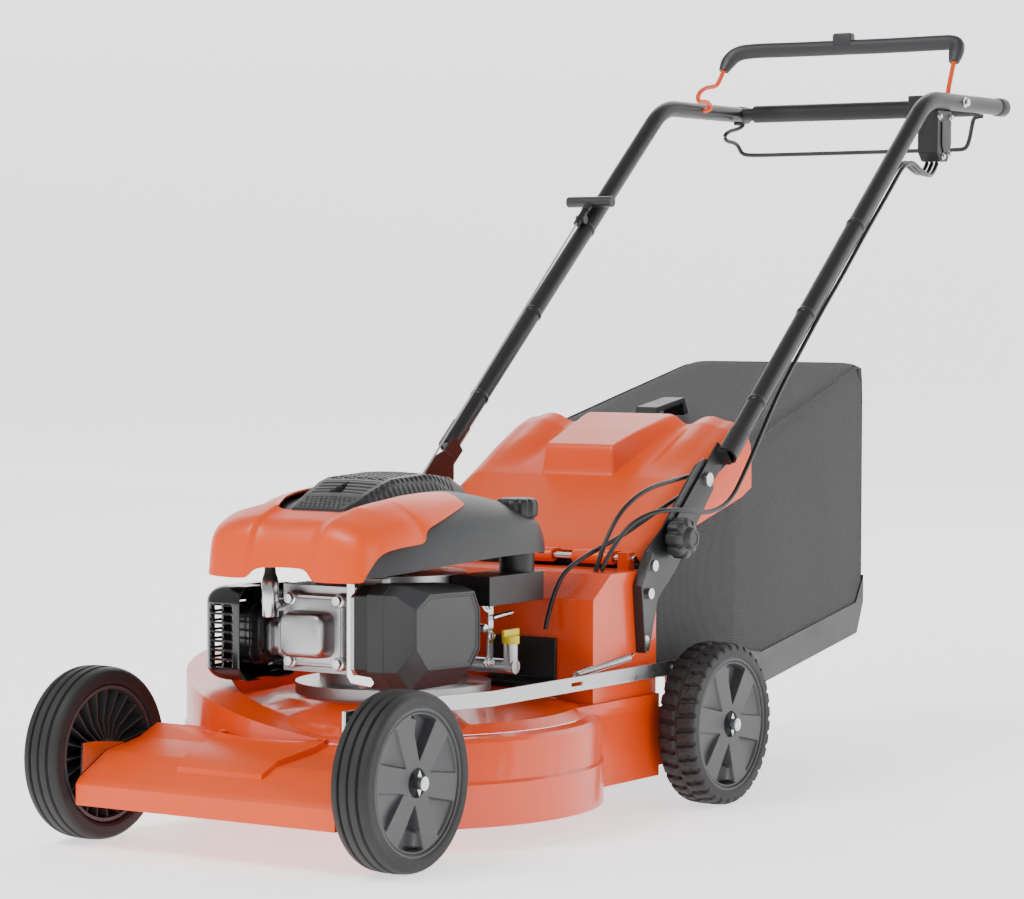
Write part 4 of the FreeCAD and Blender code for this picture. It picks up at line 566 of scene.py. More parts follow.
# %% Orange shroud
NOSE = [
    [(-110, 74, 322), (-104, 66, 321), (-76, 60, 320), (-47, 60, 320), (-42, 62, 323), (-34, 65, 333),
     (-6, 66, 335), (30, 66, 335), (42, 65, 333), (52, 62, 323), (58, 60, 320), (90, 60, 320), (116, 63, 321),
     (124, 68, 323)],
    [(-116, 86, 346), (-109, 72, 357), (-80, 64, 366), (-47, 64, 368), (-41, 68, 367), (-36, 71, 364),
     (-6, 71, 365), (32, 71, 365), (46, 71, 364), (56, 68, 367), (63, 64, 368), (92, 64, 366), (120, 71, 357),
     (129, 84, 345)],
    [(-122, 98, 355), (-117, 88, 374), (-86, 80, 386), (-46, 78, 390), (-41, 82, 389), (-36, 85, 386),
     (-6, 85, 387), (34, 85, 387), (50, 85, 386), (60, 82, 389), (67, 78, 390), (96, 80, 386), (126, 88, 374),
     (133, 96, 355)],
    [(-130, 122, 360), (-128, 116, 381), (-94, 112, 396), (-44, 110, 402), (-40, 111, 401), (-36, 112, 396),
     (-6, 112, 397), (38, 112, 397), (58, 112, 396), (68, 111, 401), (75, 110, 403), (100, 112, 397),
     (132, 116, 380), (139, 120, 360)],
    [(-134, 132, 361), (-132, 128, 383), (-97, 124, 399), (-44, 121, 406), (-40, 121, 405), (-36, 121, 400),
     (-6, 121, 400), (40, 121, 400), (60, 121, 400), (71, 121, 405), (78, 121, 407), (103, 124, 400),
     (134, 128, 382), (141, 131, 361)],
]
LEFT_TAIL = [
    [(71, 121, 405), (78, 121, 407), (103, 124, 400), (134, 128, 382), (141, 131, 361)],
    [(77, 140, 409), (84, 140, 411), (107, 140, 403), (138, 145, 385), (144, 148, 362)],
    [(82, 158, 412), (88, 160, 414), (111, 162, 406), (139, 163, 386), (146, 166, 364)],
    [(84, 164, 413), (90, 166, 415), (112, 167, 407), (135, 168, 392), (145, 168, 380)],
    [(90, 200, 418), (95, 204, 419), (114, 205, 412), (132, 206, 400), (142, 206, 389)],
    [(98, 250, 420), (103, 254, 421), (114, 258, 416), (127, 262, 409), (133, 262, 402)],
    [(103, 262, 419), (107, 266, 419), (115, 268, 415), (125, 270, 409), (130, 270, 404)],
]
shroud_nose = skin(NOSE, 64, 168)
left_tail = skin(LEFT_TAIL, 60, 44)
right_net = np.array(LEFT_TAIL, float)
right_net[..., 0] = -right_net[..., 0] + np.interp(right_net[..., 1], (121, 170), (31.0, 22.0))
right_net[0] = [NOSE[-1][k] for k in (4, 3, 2, 1, 0)]
right_tail = skin(right_net, 60, 44)
shroud = build("orange_shroud", [patch(shroud_nose), patch(left_tail), patch(right_tail)], orange_plastic, "mower_deck",
               "engine_shroud", sharp=60)
walled(shroud, 2.6, (0, -0.3, 1), 0.9)

# %% Dark rear cover
COVER = [
    [(-112, 84, 326), (-114, 86, 352), (-100, 92, 366), (-50, 96, 380), (13, 96, 382), (70, 96, 380),
     (104, 92, 366), (120, 80, 352), (121, 76, 326)],
    [(-136, 122, 328), (-137, 122, 362), (-116, 124, 380), (-60, 126, 395), (13, 126, 396), (76, 126, 395),
     (118, 124, 380), (137, 116, 361), (138, 110, 328)],
    [(-152, 168, 334), (-153, 168, 366), (-124, 168, 390), (-70, 168, 406), (13, 168, 408), (84, 168, 406),
     (124, 168, 393), (151, 164, 366), (152, 160, 333)],
    [(-156, 240, 338), (-157, 240, 370), (-120, 240, 400), (-74, 240, 416), (13, 240, 420), (96, 240, 418),
     (128, 240, 406), (162, 240, 372), (163, 240, 338)],
    [(-154, 320, 340), (-155, 320, 374), (-116, 320, 400), (-72, 320, 417), (13, 320, 421), (92, 320, 418),
     (132, 320, 406), (166, 320, 376), (167, 320, 341)],
    [(-142, 386, 340), (-143, 386, 374), (-104, 386, 392), (-64, 386, 404), (13, 386, 408), (82, 386, 404),
     (128, 390, 398), (163, 390, 377), (164, 390, 340)],
    [(-122, 416, 340), (-123, 416, 368), (-92, 416, 382), (-56, 416, 390), (13, 416, 392), (70, 416, 390),
     (116, 418, 388), (152, 416, 374), (154, 416, 340)],
    [(-112, 422, 340), (-112, 422, 362), (-88, 424, 374), (-54, 424, 380), (13, 424, 382), (68, 424, 380),
     (112, 424, 379), (146, 422, 368), (148, 422, 340)],
    [(-112, 423, 336), (-112, 424, 337), (-88, 425, 337), (-54, 425, 337), (13, 425, 337), (68, 425, 337),
     (112, 425, 337), (146, 423, 337), (148, 422, 336)],
]
cover = build("dark_engine_cover", [patch(skin(COVER, 110, 120))], grey_plastic, "mower_deck", "engine_cover", sharp=60)
walled(cover, 3.0, (0, 0, 1), 0.8)


# %% Honeycomb grille
def hexagons(x, y, pitch):
    """Distance to the edge of the nearest hexagon: the better of two offset lattices of rectangles."""
    ratio = np.sqrt(3)

    def nearest(px, py):
        """Offset from the middle of the rectangle that holds a point."""
        return (px + pitch / 2) % pitch - pitch / 2, (py + pitch * ratio / 2) % (pitch * ratio) - pitch * ratio / 2

    one, two = nearest(x, y), nearest(x - pitch / 2, y - pitch * ratio / 2)
    size = [np.maximum(np.abs(px), np.abs(px) / 2 + np.abs(py) * ratio / 2) for px, py in (one, two)]
    return pitch / 2 - np.minimum(*size)


def grille_points(rows, columns):
    """A flat-topped ridge with sloping sides: hexagon cells sunk in framed panels, louvres and an opening in front."""
    y = np.linspace(119, 392, rows)[:, None]
    v = np.linspace(-1, 1, columns)[None, :]
    half = np.interp(y, (119, 150, 200, 300, 392), (50, 60, 68, 66, 48))
    middle = np.interp(y, (119, 200, 392), (18.5, 14, 13))
    x = middle + v * half
    crest = np.interp(y, (119, 123, 160, 196, 215, 290, 350, 385, 392), (399, 403, 419, 432, 437, 440, 433, 420, 412))
    base = np.interp(y, (119, 160, 240, 320, 392), (397, 407, 417, 418, 404))
    flat = 1 - smooth((np.abs(v) - 0.70) / 0.28)
    z = base - 2 + (crest - base + 2) * flat - 3.5 * v ** 2 * (crest > base + 8)
    side = (np.abs(v) > 0.71) & (np.abs(v) < 0.93) & (y > 160) & (y < 345)
    front = (np.abs(v) < 0.60) & (y > 124) & (y < 152)
    top = (np.abs(v) < 0.60) & (y > 205) & (y < 372)
    window = (np.abs(v + 0.05) < 0.16 * (1 - (y - 166) / 30)) & (y > 164)
    ribs = (np.abs(v) < 0.60) & (y > 160) & (y < 200) & ~window
    cell = smooth((hexagons(y, x + np.abs(v) * 8, 10.0) - 1.3) / 1.0)
    small = smooth((hexagons(x, y, 7.0) - 1.2) / 0.9)
    slot = smooth(2.2 * np.sin(y * 2 * np.pi / 9.0) + 0.2)
    z = z - 2.4 * cell * (side | top) - 2.2 * small * front - 2.0 * slot * ribs - 6.0 * (window & (y < 196))
    return np.stack((x, np.broadcast_to(y, x.shape), z), -1)


grille = build("honeycomb_grille", [patch(grille_points(300, 150))], black_plastic, "mower_deck", "starter_grille",
               sharp=40)
walled(grille, 2.0, (0, 0, 1))
print("engine covers")

# %% [markdown]
# ## The rear flap
# The flap is a hood over the bag's mouth. Its middle carries a raised field with a
# steep front and slanted sides, beside it run two rounded shoulders, and skirts
# hang down left and right. Columns of the grid follow the foot and the crest
# of the raised field, so its creases are straight and crisp. Three knuckles in
# front of it turn on the hinge pin.

# %% Flap surface
def flap_points(rows):
    """Height of the hood over x and y: two slopes, a raised field, two shoulders and a rounded edge."""
    y = np.concatenate((np.linspace(586, 728, rows), np.linspace(730, 742, 9), np.linspace(746, 872, rows)))[:, None]
    late = np.clip((y - 737) / 131, 0, 1)
    crest_x, foot_x = 52 + 11 * late, 58 + 34 * late
    stops = np.stack([np.full_like(y, -152.0), -foot_x, -crest_x, crest_x, foot_x, np.full_like(y, 152.0)], -1)[:, 0]
    counts = (22, 9, 26, 9, 22)
    share = np.concatenate([np.linspace(k, k + 1, n, endpoint=False) for k, n in enumerate(counts)] + [[5.0]])
    low = np.minimum(share.astype(int), 4)
    x = stops[:, low] + (share - low)[None, :] * (stops[:, low + 1] - stops[:, low])
    base = np.interp(y, (586, 600, 731, 850, 872), (328, 338, 417, 478, 486)) + 0 * x
    shoulder = 9 * smooth((y - 742) / 70) * np.exp(-((np.abs(x) - 128) / 24) ** 2)
    dip = 4 * smooth((y - 742) / 60) * np.exp(-((np.abs(x) - 94) / 12) ** 2)
    crest = np.interp(y, (731, 737, 800, 872), (417, 457, 477, 497))
    rise = smooth((y - 729) / 12) * smooth(1 - (np.abs(x) - crest_x) / (foot_x - crest_x))
    z = base + shoulder - dip + np.maximum(crest - base, 0) * rise
    turn = np.linspace(0, np.pi / 2, 10)[1:]
    edge_z = base[:, -1:] + shoulder[:, -1:] - dip[:, -1:]
    round_x = 152 + 38 * np.sin(turn)[None, :] + 0 * y
    drop = np.interp(y, (586, 640, 731), (10, 24, 38))
    round_z = edge_z - drop * (1 - np.cos(turn))[None, :]
    low_z = np.interp(y, (586, 640, 845, 872), (322, 334, 388, 400))
    side_z = np.minimum(round_z[:, -1:], low_z)
    skirt = np.stack([round_z[:, -1:] * (1 - t) + side_z * t for t in (0.33, 0.66, 1.0)], -1)[:, 0]
    skirt_x = np.full((len(y), 3), 191.5)
    right_x = np.concatenate((round_x, skirt_x), 1)
    right_z = np.concatenate((round_z, skirt), 1)
    x = np.concatenate((-right_x[:, ::-1], x, right_x), 1)
    z = np.concatenate((right_z[:, ::-1], z, right_z), 1)
    return np.stack((x, np.broadcast_to(y, x.shape), z), -1)


walled(build("moulded_flap", [patch(flap_points(46))], orange_plastic, "flap", sharp=75), 3.0, (0, 0, 1), 0.9)


# %% Knuckles of the flap
def block_of(low, high):
    """The eight corners of a box as a closed patch of two rings."""
    (x0, y0, z0), (x1, y1, z1) = low, high
    ring = np.array(((x0, y0), (x1, y0), (x1, y1), (x0, y1)), float)
    return patch(np.stack([np.concatenate((ring, np.full((4, 1), z)), 1) for z in (z0, z1)]), False, True, caps=True)


HINGE = (0, 569, 322)
knuckles = []
for start_x in (-169.0, 9.0, 100.0):
    along = np.array((0, 0, 1, 59, 60, 60)) + start_x
    knuckles.append(patch(spun(along, (5.2, 8.4, 9, 9, 8.4, 5.2), 32, HINGE), True, True))
    knuckles.append(block_of((start_x + 2, 570, 324), (start_x + 58, 596, 330)))
build("flap_knuckles", knuckles, orange_plastic, "flap", "rear_flap", sharp=40)
print("flap")

# %% [markdown]
# ## The grass bag
# The bag is a knitted polyester mesh stretched over a wire frame, so its panels are
# nearly flat, with a slight belly between the edges, and a piped seam along
# each edge. Every panel is its own grid with its own UV map in decimetres,
# because the knit has to run along the cloth and not through it.

# %% Knitted mesh
def knitted_mesh():
    """Polyester warp knit: loops 3 mm by 3.4 mm with holes between them, drawn as two crossed sine waves; the colour
    follows the same height, so the holes carry painted shade.
    """
    finish, tree, shader, _ = start("black_polyester_bag_knit", "#232425", 0.82, Sheen_Weight=0.1, IOR=1.45)
    cloth = put(tree, "UVMap").outputs["UV"]
    wander = put(tree, "TexNoise", {"Vector": cloth, "Scale": 6.0, "Detail": 2.0})
    shift = put(tree, "VectorMath", {0: wander.outputs["Color"], 1: (0.02, 0.02, 0.0)}, operation="MULTIPLY")
    moved = put(tree, "VectorMath", {0: cloth, 1: shift.outputs["Vector"]}, operation="ADD")
    split = put(tree, "SeparateXYZ", {"Vector": moved.outputs["Vector"]})
    courses = put(tree, "Math", {0: split.outputs["Y"], 1: 2 * np.pi / 0.030}, operation="MULTIPLY")
    wales = put(tree, "Math", {0: split.outputs["X"], 1: 2 * np.pi / 0.034}, operation="MULTIPLY")
    half_course = put(tree, "Math", {0: courses.outputs["Value"], 1: 0.5}, operation="MULTIPLY")
    stagger = put(tree, "Math", {0: half_course.outputs["Value"]}, operation="SINE")
    sway = put(tree, "Math", {0: stagger.outputs["Value"], 1: 1.2}, operation="MULTIPLY")
    bent = put(tree, "Math", {0: wales.outputs["Value"], 1: sway.outputs["Value"]}, operation="ADD")
    one = put(tree, "Math", {0: courses.outputs["Value"]}, operation="SINE")
    two = put(tree, "Math", {0: bent.outputs["Value"]}, operation="SINE")
    loops = put(tree, "Math", {0: one.outputs["Value"], 1: two.outputs["Value"]}, operation="ADD")
    height = put(tree, "MapRange", {"Value": loops.outputs["Value"], "From Min": -1.4, "From Max": 1.4})
    # Painted shade: the colour runs from dark in the holes between the loops to lighter on the loop tops, by the loop
    # height.
    tint = put(tree, "MixRGB", {"Fac": height.outputs["Result"], "Color1": linear("#0A0A0B"),
                                "Color2": linear("#3A3B3D")})
    tree.links.new(tint.outputs["Color"], shader.inputs["Base Color"])
    bumpy(tree, shader, height.outputs["Result"], 0.7)
    return finish


bag_knit = knitted_mesh()
bag_piping = moulded("woven_edge_piping", "#262628", "#1E1E20", 0.6, 0.75, 1.2, 0.15)

# %% Shape of the bag
SIDE_TOP = np.array(((606, 311), (700, 358), (822, 414), (843, 418), (850, 455), (1060, 509), (1262, 560),
                     (1275, 562)), float)
SIDE_LOW = np.array(((606, 178), (800, 190), (924, 172), (1266, 213), (1292, 246)), float)


def bag_half(y):
    """Half width of the bag: straight beside the mouth, then narrower towards the rear."""
    return np.interp(y, (606, 835, 1306), (187.5, 187.5, 141.5))


def panel(name, points):
    """A cloth panel with a UV map that counts decimetres along its rows and columns."""
    piece = build(name, [patch(points)], bag_knit, "grass_bag", sharp=60)
    rows, columns = points.shape[:2]
    along = np.zeros((rows, columns))
    along[1:] = np.cumsum(np.linalg.norm(np.diff(points, axis=0), axis=2), axis=0)
    across = np.zeros((rows, columns))
    across[:, 1:] = np.cumsum(np.linalg.norm(np.diff(points, axis=1), axis=2), axis=1)
    along = np.broadcast_to(along.mean(1, keepdims=True), along.shape)
    flat = np.stack((across, along), -1).reshape(-1, 2) / 100
    corners = np.zeros(len(piece.data.loops), np.int32)
    piece.data.loops.foreach_get("vertex_index", corners)
    layer = piece.data.uv_layers.new(name="cloth")
    layer.data.foreach_set("uv", flat[corners].ravel())
    return piece


def bag_side(sign):
    """Side panel: a ruled surface between the lower and upper edge, with a belly of 3 mm in the middle."""
    y = np.linspace(606, 1290, 110)[:, None]
    v = np.linspace(0, 1, 46)[None, :]
    low = np.interp(y, *SIDE_LOW.T) - 2
    top = np.interp(y, *SIDE_TOP.T) - 7
    z = low + (top - low) * v
    u = np.clip((y - 606) / 684, 0, 1)
    belly = 3.0 * np.sin(np.pi * v) * np.sin(np.pi * u) ** 0.5 - 1.5 * smooth((v - 0.93) / 0.07)
    waves = 0.7 * np.sin(y / 38 + 3 * v) * np.sin(np.pi * v) * np.sin(np.pi * u)
    x = sign * (bag_half(y) - 1.5 + belly + waves)
    name = "bag_side_left" if sign > 0 else "bag_side_right"
    return panel(name, np.stack((x, np.broadcast_to(y, x.shape), z), -1))


def bag_top():
    """Top panel: sags 6 mm between the frame wires, and its long edges roll down."""
    y = np.concatenate((np.linspace(606, 838, 44), np.linspace(840, 852, 6), np.linspace(856, 1276, 70)))[:, None]
    v = np.linspace(-1, 1, 70)[None, :]
    u = np.clip((y - 850) / 426, 0, 1)
    sag = 6.0 * (1 - v ** 2) * np.sin(np.pi * u) ** 0.6
    z = np.interp(y, *SIDE_TOP.T) - sag - 7 * np.abs(v) ** 14
    x = v * (bag_half(y) - 1.5)
    return panel("bag_top", np.stack((x, np.broadcast_to(y, x.shape), z + 0 * x), -1))


def bag_back():
    """Rear panel: from the tray to the top edge, bulging 3.5 mm."""
    v = np.linspace(0, 1, 60)[:, None]
    u = np.linspace(-1, 1, 60)[None, :]
    z = 244 + (562 - 244) * v - 7 * smooth((v - 0.9) / 0.1) * np.abs(u) ** 14
    lean = 18 * smooth((v - 0.88) / 0.12) ** 1.5
    y = 1292 - lean + 3.5 * np.cos(np.pi / 2 * u) * np.sin(np.pi * v) - 3 * np.abs(u) ** 14
    x = u * (bag_half(y) - 1.0)
    return panel("bag_back", np.stack((x, y + 0 * x, z + 0 * x), -1))


for sign in (1, -1):
    bag_side(sign)
bag_top()
rear_panel = bag_back()
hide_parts("bag_fabric")


# %% Tubes along a line, and the piped seams
def frames(line, guide=None):
    """Directions, and two steady side directions, along a line; the guide is never parallel to the line."""
    ahead = np.gradient(line, axis=0)
    ahead /= np.linalg.norm(ahead, axis=1, keepdims=True)
    if guide is None:
        guide = np.eye(3)[int(np.abs(ahead).mean(0).argmin())]
    one = np.cross(ahead, guide)
    one /= np.linalg.norm(one, axis=1, keepdims=True)
    return ahead, one, np.cross(ahead, one)


def tube(line, radius, around=10, turn=0.0, reach=0.0, guide=None):
    """A round tube along a line; with reach, its middle circles the line at that distance by the angles in turn."""
    line = np.asarray(line, float)
    _, one, two = frames(line, guide)
    turn = np.broadcast_to(np.asarray(turn, float), (len(line),))[:, None]
    middle = line + reach * (one * np.cos(turn) + two * np.sin(turn))
    if reach:
        _, one, two = frames(middle)
    angle = np.linspace(0, 2 * np.pi, around, endpoint=False)
    radius = np.broadcast_to(np.asarray(radius, float), (len(line),))
    ring = one[:, None] * np.cos(angle)[None, :, None] + two[:, None] * np.sin(angle)[None, :, None]
    return patch(middle[:, None] + radius[:, None, None] * ring, False, True, caps=True)


def edge_line(sign, profile, lower, start_y, end_y, count=60):
    """Points along an edge of the bag at one side."""
    y = np.linspace(start_y, end_y, count)
    return np.stack((sign * (bag_half(y) - 2.0), y, np.interp(y, *profile.T) - lower), -1)


seams = []
for sign in (1, -1):
    seams.append(tube(edge_line(sign, SIDE_TOP, 6.0, 852, 1274), 1.8, 8))
    z = np.linspace(556, 246, 40)
    y = 1292 - 16 * smooth((z - 520) / 40)
    seams.append(tube(np.stack((sign * (bag_half(y) - 2.5), y - 2.5, z), -1), 1.8, 8))
x = np.linspace(-142, 142, 40)
seams.append(tube(np.stack((x, 1276 + 0 * x, 560.5 - 6 * np.abs(x / 142) ** 14), -1), 1.8, 8))
build("bag_piping", seams, bag_piping, "grass_bag", sharp=60)
print("bag")

# %% [markdown]
# ## Cables, rope and spring
# The three control cables and the starter rope run from the mower to the handle.
# The cables and the rope are single meshes that stay where they are built. A cable
# is a smooth spline pulled by the control points of its CAD route, the rope is three
# twisted strands, and the spring is a coil.

# %% Control cables
# each cable: points at the control box, x along the leg, heights off the leg, points down to the mower
CABLES = {
    "drive_cable": (
        [(210, 1390, 854.5), (214, 1368, 834), (224, 1322, 836)], 229, (-19, -20, -18.5, -20, -18.5, -20, -22, -30),
        [(234, 778, 425), (239, 730, 388), (240, 672, 376), (236, 612, 385), (218, 562, 384), (192, 526, 356),
         (176, 512, 309)]),
    "brake_cable": (
        [(202, 1390, 854.5), (206, 1368, 836), (216, 1322, 837)], 221, (-19, -18, -20, -18.5, -20, -18.5, -19, -22),
        [(206, 790, 450), (199, 735, 428), (196, 670, 420), (190, 605, 412), (183, 552, 388), (175, 520, 345),
         (169, 510, 309)]),
    "throttle_cable": (
        [(194, 1390, 854.5), (198, 1368, 838), (208, 1322, 838)], 213, (-20, -18.5, -20, -18.5, -20, -18.5, -22, -28),
        [(201, 776, 428), (196, 700, 405), (186, 628, 378), (172, 560, 348), (161, 496, 329), (152, 440, 302),
         (146, 428, 240)]),
}
LEG = np.radians(40.6)
LEG_STOPS = (700, 615, 530, 445, 360, 275, 200, 140)
HANDLE_X = 222.5


def leg(along, off):
    """Height profile of a handle leg: along it from the fold, and off it upwards."""
    return 715 + along * np.cos(LEG) - off * np.sin(LEG), 418 + along * np.sin(LEG) + off * np.cos(LEG)


def route(upper, x, offs, lower):
    """A cable's control points: from the control box, down the handle's leg at one x, and on to the mower."""
    down = [(x, *leg(along, off)) for along, off in zip(LEG_STOPS, offs)]
    return np.array([*upper, *down, *lower], float)


def smooth_cord(name, points, radius_mm, finish, node):
    """One spline pulled by its control points, made into a mesh."""
    data = bpy.data.curves.new(name, "CURVE")
    data.dimensions = "3D"
    data.bevel_depth = radius_mm * MM
    data.bevel_resolution = 4
    data.use_fill_caps = True
    data.resolution_u = 10
    spline = data.splines.new("NURBS")
    spline.points.add(len(points) - 1)
    spline.points.foreach_set("co", np.concatenate((metres(points), np.ones((len(points), 1))), 1).ravel())
    spline.order_u = 3
    spline.use_endpoint_u = True
    line = bpy.data.objects.new(name + "_line", data)
    bpy.context.scene.collection.objects.link(line)
    bpy.context.view_layer.update()
    mesh = bpy.data.meshes.new_from_object(line)
    bpy.data.objects.remove(line)
    mesh.shade_smooth()
    cord = bpy.data.objects.new(name, mesh)
    bpy.context.scene.collection.objects.link(cord)
    shown(cord, finish, None, node)
    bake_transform(cord)
    return cord


for name, parts in CABLES.items():
    smooth_cord(name + "_sheath", route(*parts), 3.0, cable_pvc, name)

# %% Twisted starter rope
def twisted(name, line, strand, pitch, finish, body, *stands_for):
    """Three round strands that circle the line once every pitch."""
    length = np.linalg.norm(np.diff(line, axis=0), axis=1).sum()
    line = even(line, int(length / pitch * 10))
    turn = np.linspace(0, 2 * np.pi * length / pitch, len(line))
    strands = [tube(line, strand, 6, turn + 2 * np.pi * k / 3, strand * 0.98) for k in range(3)]
    return build(name, strands, finish, body, *stands_for, sharp=80)


rope_yarn = moulded("grey_polyester_rope", "#B9BABC", "#8E8F92", 0.6, 0.8, 0.8, 0.1)
rope_line = np.array(((-106, 417, 330), (-HANDLE_X, *leg(505, 22.5)), (-HANDLE_X, *leg(536, 22.5))), float)
rope = twisted("starter_rope_strands", rope_line, 0.82, 9.0, rope_yarn, None, "starter_rope")
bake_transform(rope)

# %% Return spring
spring_start, spring_end = np.array((201.0, 414.0, 187.0)), np.array((206.0, 530.0, 199.5))
COILS, STEPS = 55, 1100
spring_axis = np.linspace(0, 1, STEPS)[:, None] * (spring_end - spring_start) + spring_start
coils = tube(spring_axis, 0.85, 6, np.linspace(0, 2 * np.pi * COILS, STEPS), 4.4)
hooks = [tube(np.array((spring_end, spring_end + (0.5, 8, 1), spring_end + (1, 14, 5))), 1.0, 8),
         tube(np.array((spring_start, spring_start - (0.4, 6, 1), spring_start - (0.5, 9, 4))), 1.0, 8)]
build("height_spring_coil", [coils, *hooks], bright_zinc, "height_link", "height_spring", sharp=80)
print("cables, rope and spring")

# %% [markdown]
# ## Rounded castings and sheet-metal shells
# Many engine parts are rounded boxes: a ring of points, a rectangle with round
# corners, is stacked along one axis while its size changes a little. Shells with
# slots use the same idea, but leave out the faces where a slot is punched.

# %% Stacks of rounded rectangles
def rounded(half_x, half_z, radius, count=8):
    """A rectangle with round corners: four quarter circles about the corners of a smaller rectangle."""
    turn = np.linspace(0, np.pi / 2, count)
    arcs = []
    for k, (sx, sz) in enumerate(((1, 1), (-1, 1), (-1, -1), (1, -1))):
        angle = turn + k * np.pi / 2
        arcs.append(np.stack((sx * (half_x - radius) + radius * np.cos(angle),
                              sz * (half_z - radius) + radius * np.sin(angle)), -1))
    return np.concatenate(arcs)


def stacked(levels, centre, axis=1):
    """Rounded rectangles (at, half, half, radius, shift, shift) stacked along an axis, closed at both ends."""
    rings = []
    for at, half_one, half_two, radius, *shift in levels:
        flat = rounded(half_one, half_two, radius) + np.array(shift or (0.0, 0.0))
        rings.append(np.insert(flat, axis, at, axis=1))
    return patch(np.array(rings) + np.array(centre, float), False, True, caps=True)


# %% Valve cover and its flanged bolts
valve_middle = (0.0, 0.0, 253.0)
bolt_places = [(x, z) for x in (-36, 36) for z in (215, 291)]
flange = stacked([(150, 41.5, 43.5, 9), (143.5, 41.5, 43.5, 9), (142, 40.2, 42.2, 8)], valve_middle)
boss = stacked([(143, 36.5, 30.5, 15, -4, -4), (140.5, 34.2, 28.2, 14, -4, -4), (124, 33.2, 27.2, 13.5, -4, -4),
                (119.5, 32, 26, 13, -4, -4), (117.2, 29.8, 23.8, 11, -4, -4), (116.2, 27, 21, 9, -4, -4)], valve_middle)
rail = stacked([(143, 38, 40, 8), (141, 37.6, 39.6, 8), (140.6, 36.2, 38.2, 7)], valve_middle)
ears = [patch(spun((150, 141.5, 140.4, 140.4), (9.4, 9.2, 8.2, 0.02), 28, (x, 0, z), 1), False, True)
        for x, z in bolt_places]
build("cast_valve_cover", [flange, rail, boss, *ears], cast_alloy, "mower_deck", "valve_cover", sharp=32)


def hexagon_bolt(centre, axis, outwards, across):
    """A flanged bolt: a thin washer, then six flats with a chamfered, slightly hollow head."""
    washer = spun(outwards * np.array((0, 1.2, 1.8, 1.8)), (across * 0.74, across * 0.74, across * 0.62, 0.02), 28,
                  centre, axis)
    turn = np.linspace(0, 2 * np.pi, 36, endpoint=False)
    flats = np.cos(np.pi / 6) / np.cos((turn + np.pi / 6) % (np.pi / 3) - np.pi / 6)
    corner = across / 2 / np.cos(np.pi / 6)
    head_r = np.array((0.02, 1.0, 1.0, 0.9, 0.55, 0.5, 0.02))[:, None] * corner * np.ones(36)
    head_r[1:3] *= flats
    head_r[3] = np.minimum(head_r[2], corner * 0.9)
    head_x = outwards * np.array((1.6, 1.6, across * 0.52, across * 0.6, across * 0.6, across * 0.56, across * 0.56))
    head = spun(np.tile(head_x[:, None], (1, 36)), head_r, 36, centre, axis)
    return [patch(washer, False, True), patch(head, False, True)]


bolts = []
for x, z in bolt_places:
    bolts += hexagon_bolt((x, 140.4, z), 1, -1.0, 10.5)
build("valve_cover_bolts", bolts, bright_zinc, "mower_deck", sharp=30)

# %% Spark plug cap
steel_sleeve = spun((268, 268, 270, 311, 313), (0.02, 9.6, 10.6, 10.6, 9.8), 36, (-57, 127, 0), 2)
plug_arm = spun((0, 2, 24, 30), (6.0, 8.2, 7.8, 5.0), 28, (-54, 125, 282), 1)
build("spark_plug_sleeve", [patch(steel_sleeve, False, True), patch(plug_arm, False, True, caps=True)], bright_zinc,
      "mower_deck", "spark_plug", sharp=40)
boot = spun((312.5, 314, 318, 322, 328, 330, 331.5, 340, 342), (9.6, 9.8, 8.4, 7.2, 6.6, 6.6, 5.2, 5.0, 0.02), 32,
            (-57, 127, 0), 2)
build("spark_plug_boot", [patch(boot, False, True)], soft_rubber, "mower_deck", sharp=50)
print("valve cover, bolts and spark plug cap")

# %% Muffler in its slotted guard
can = stacked([(-144, 26, 20, 10), (-141, 36, 31, 15), (-136, 40, 36, 17), (-98, 40, 36, 17), (-97, 42, 38, 18),
               (-94, 42, 38, 18), (-93, 40, 36, 17), (-82, 39, 35, 16), (-78, 34, 30, 14), (-77, 26, 22, 10)],
              (0, 175, 244), 0)
build("muffler_can", [can], gloss_enamel, "mower_deck", "muffler", sharp=32)
port = stacked([(-80, 26, 22, 8), (-73, 26, 22, 8), (-72, 20, 18, 8), (-62, 20, 18, 8), (-61, 27, 24, 8),
                (-57, 27, 24, 8)], (0, 176, 241), 0)
build("exhaust_port", [port], cast_alloy, "mower_deck", sharp=32)


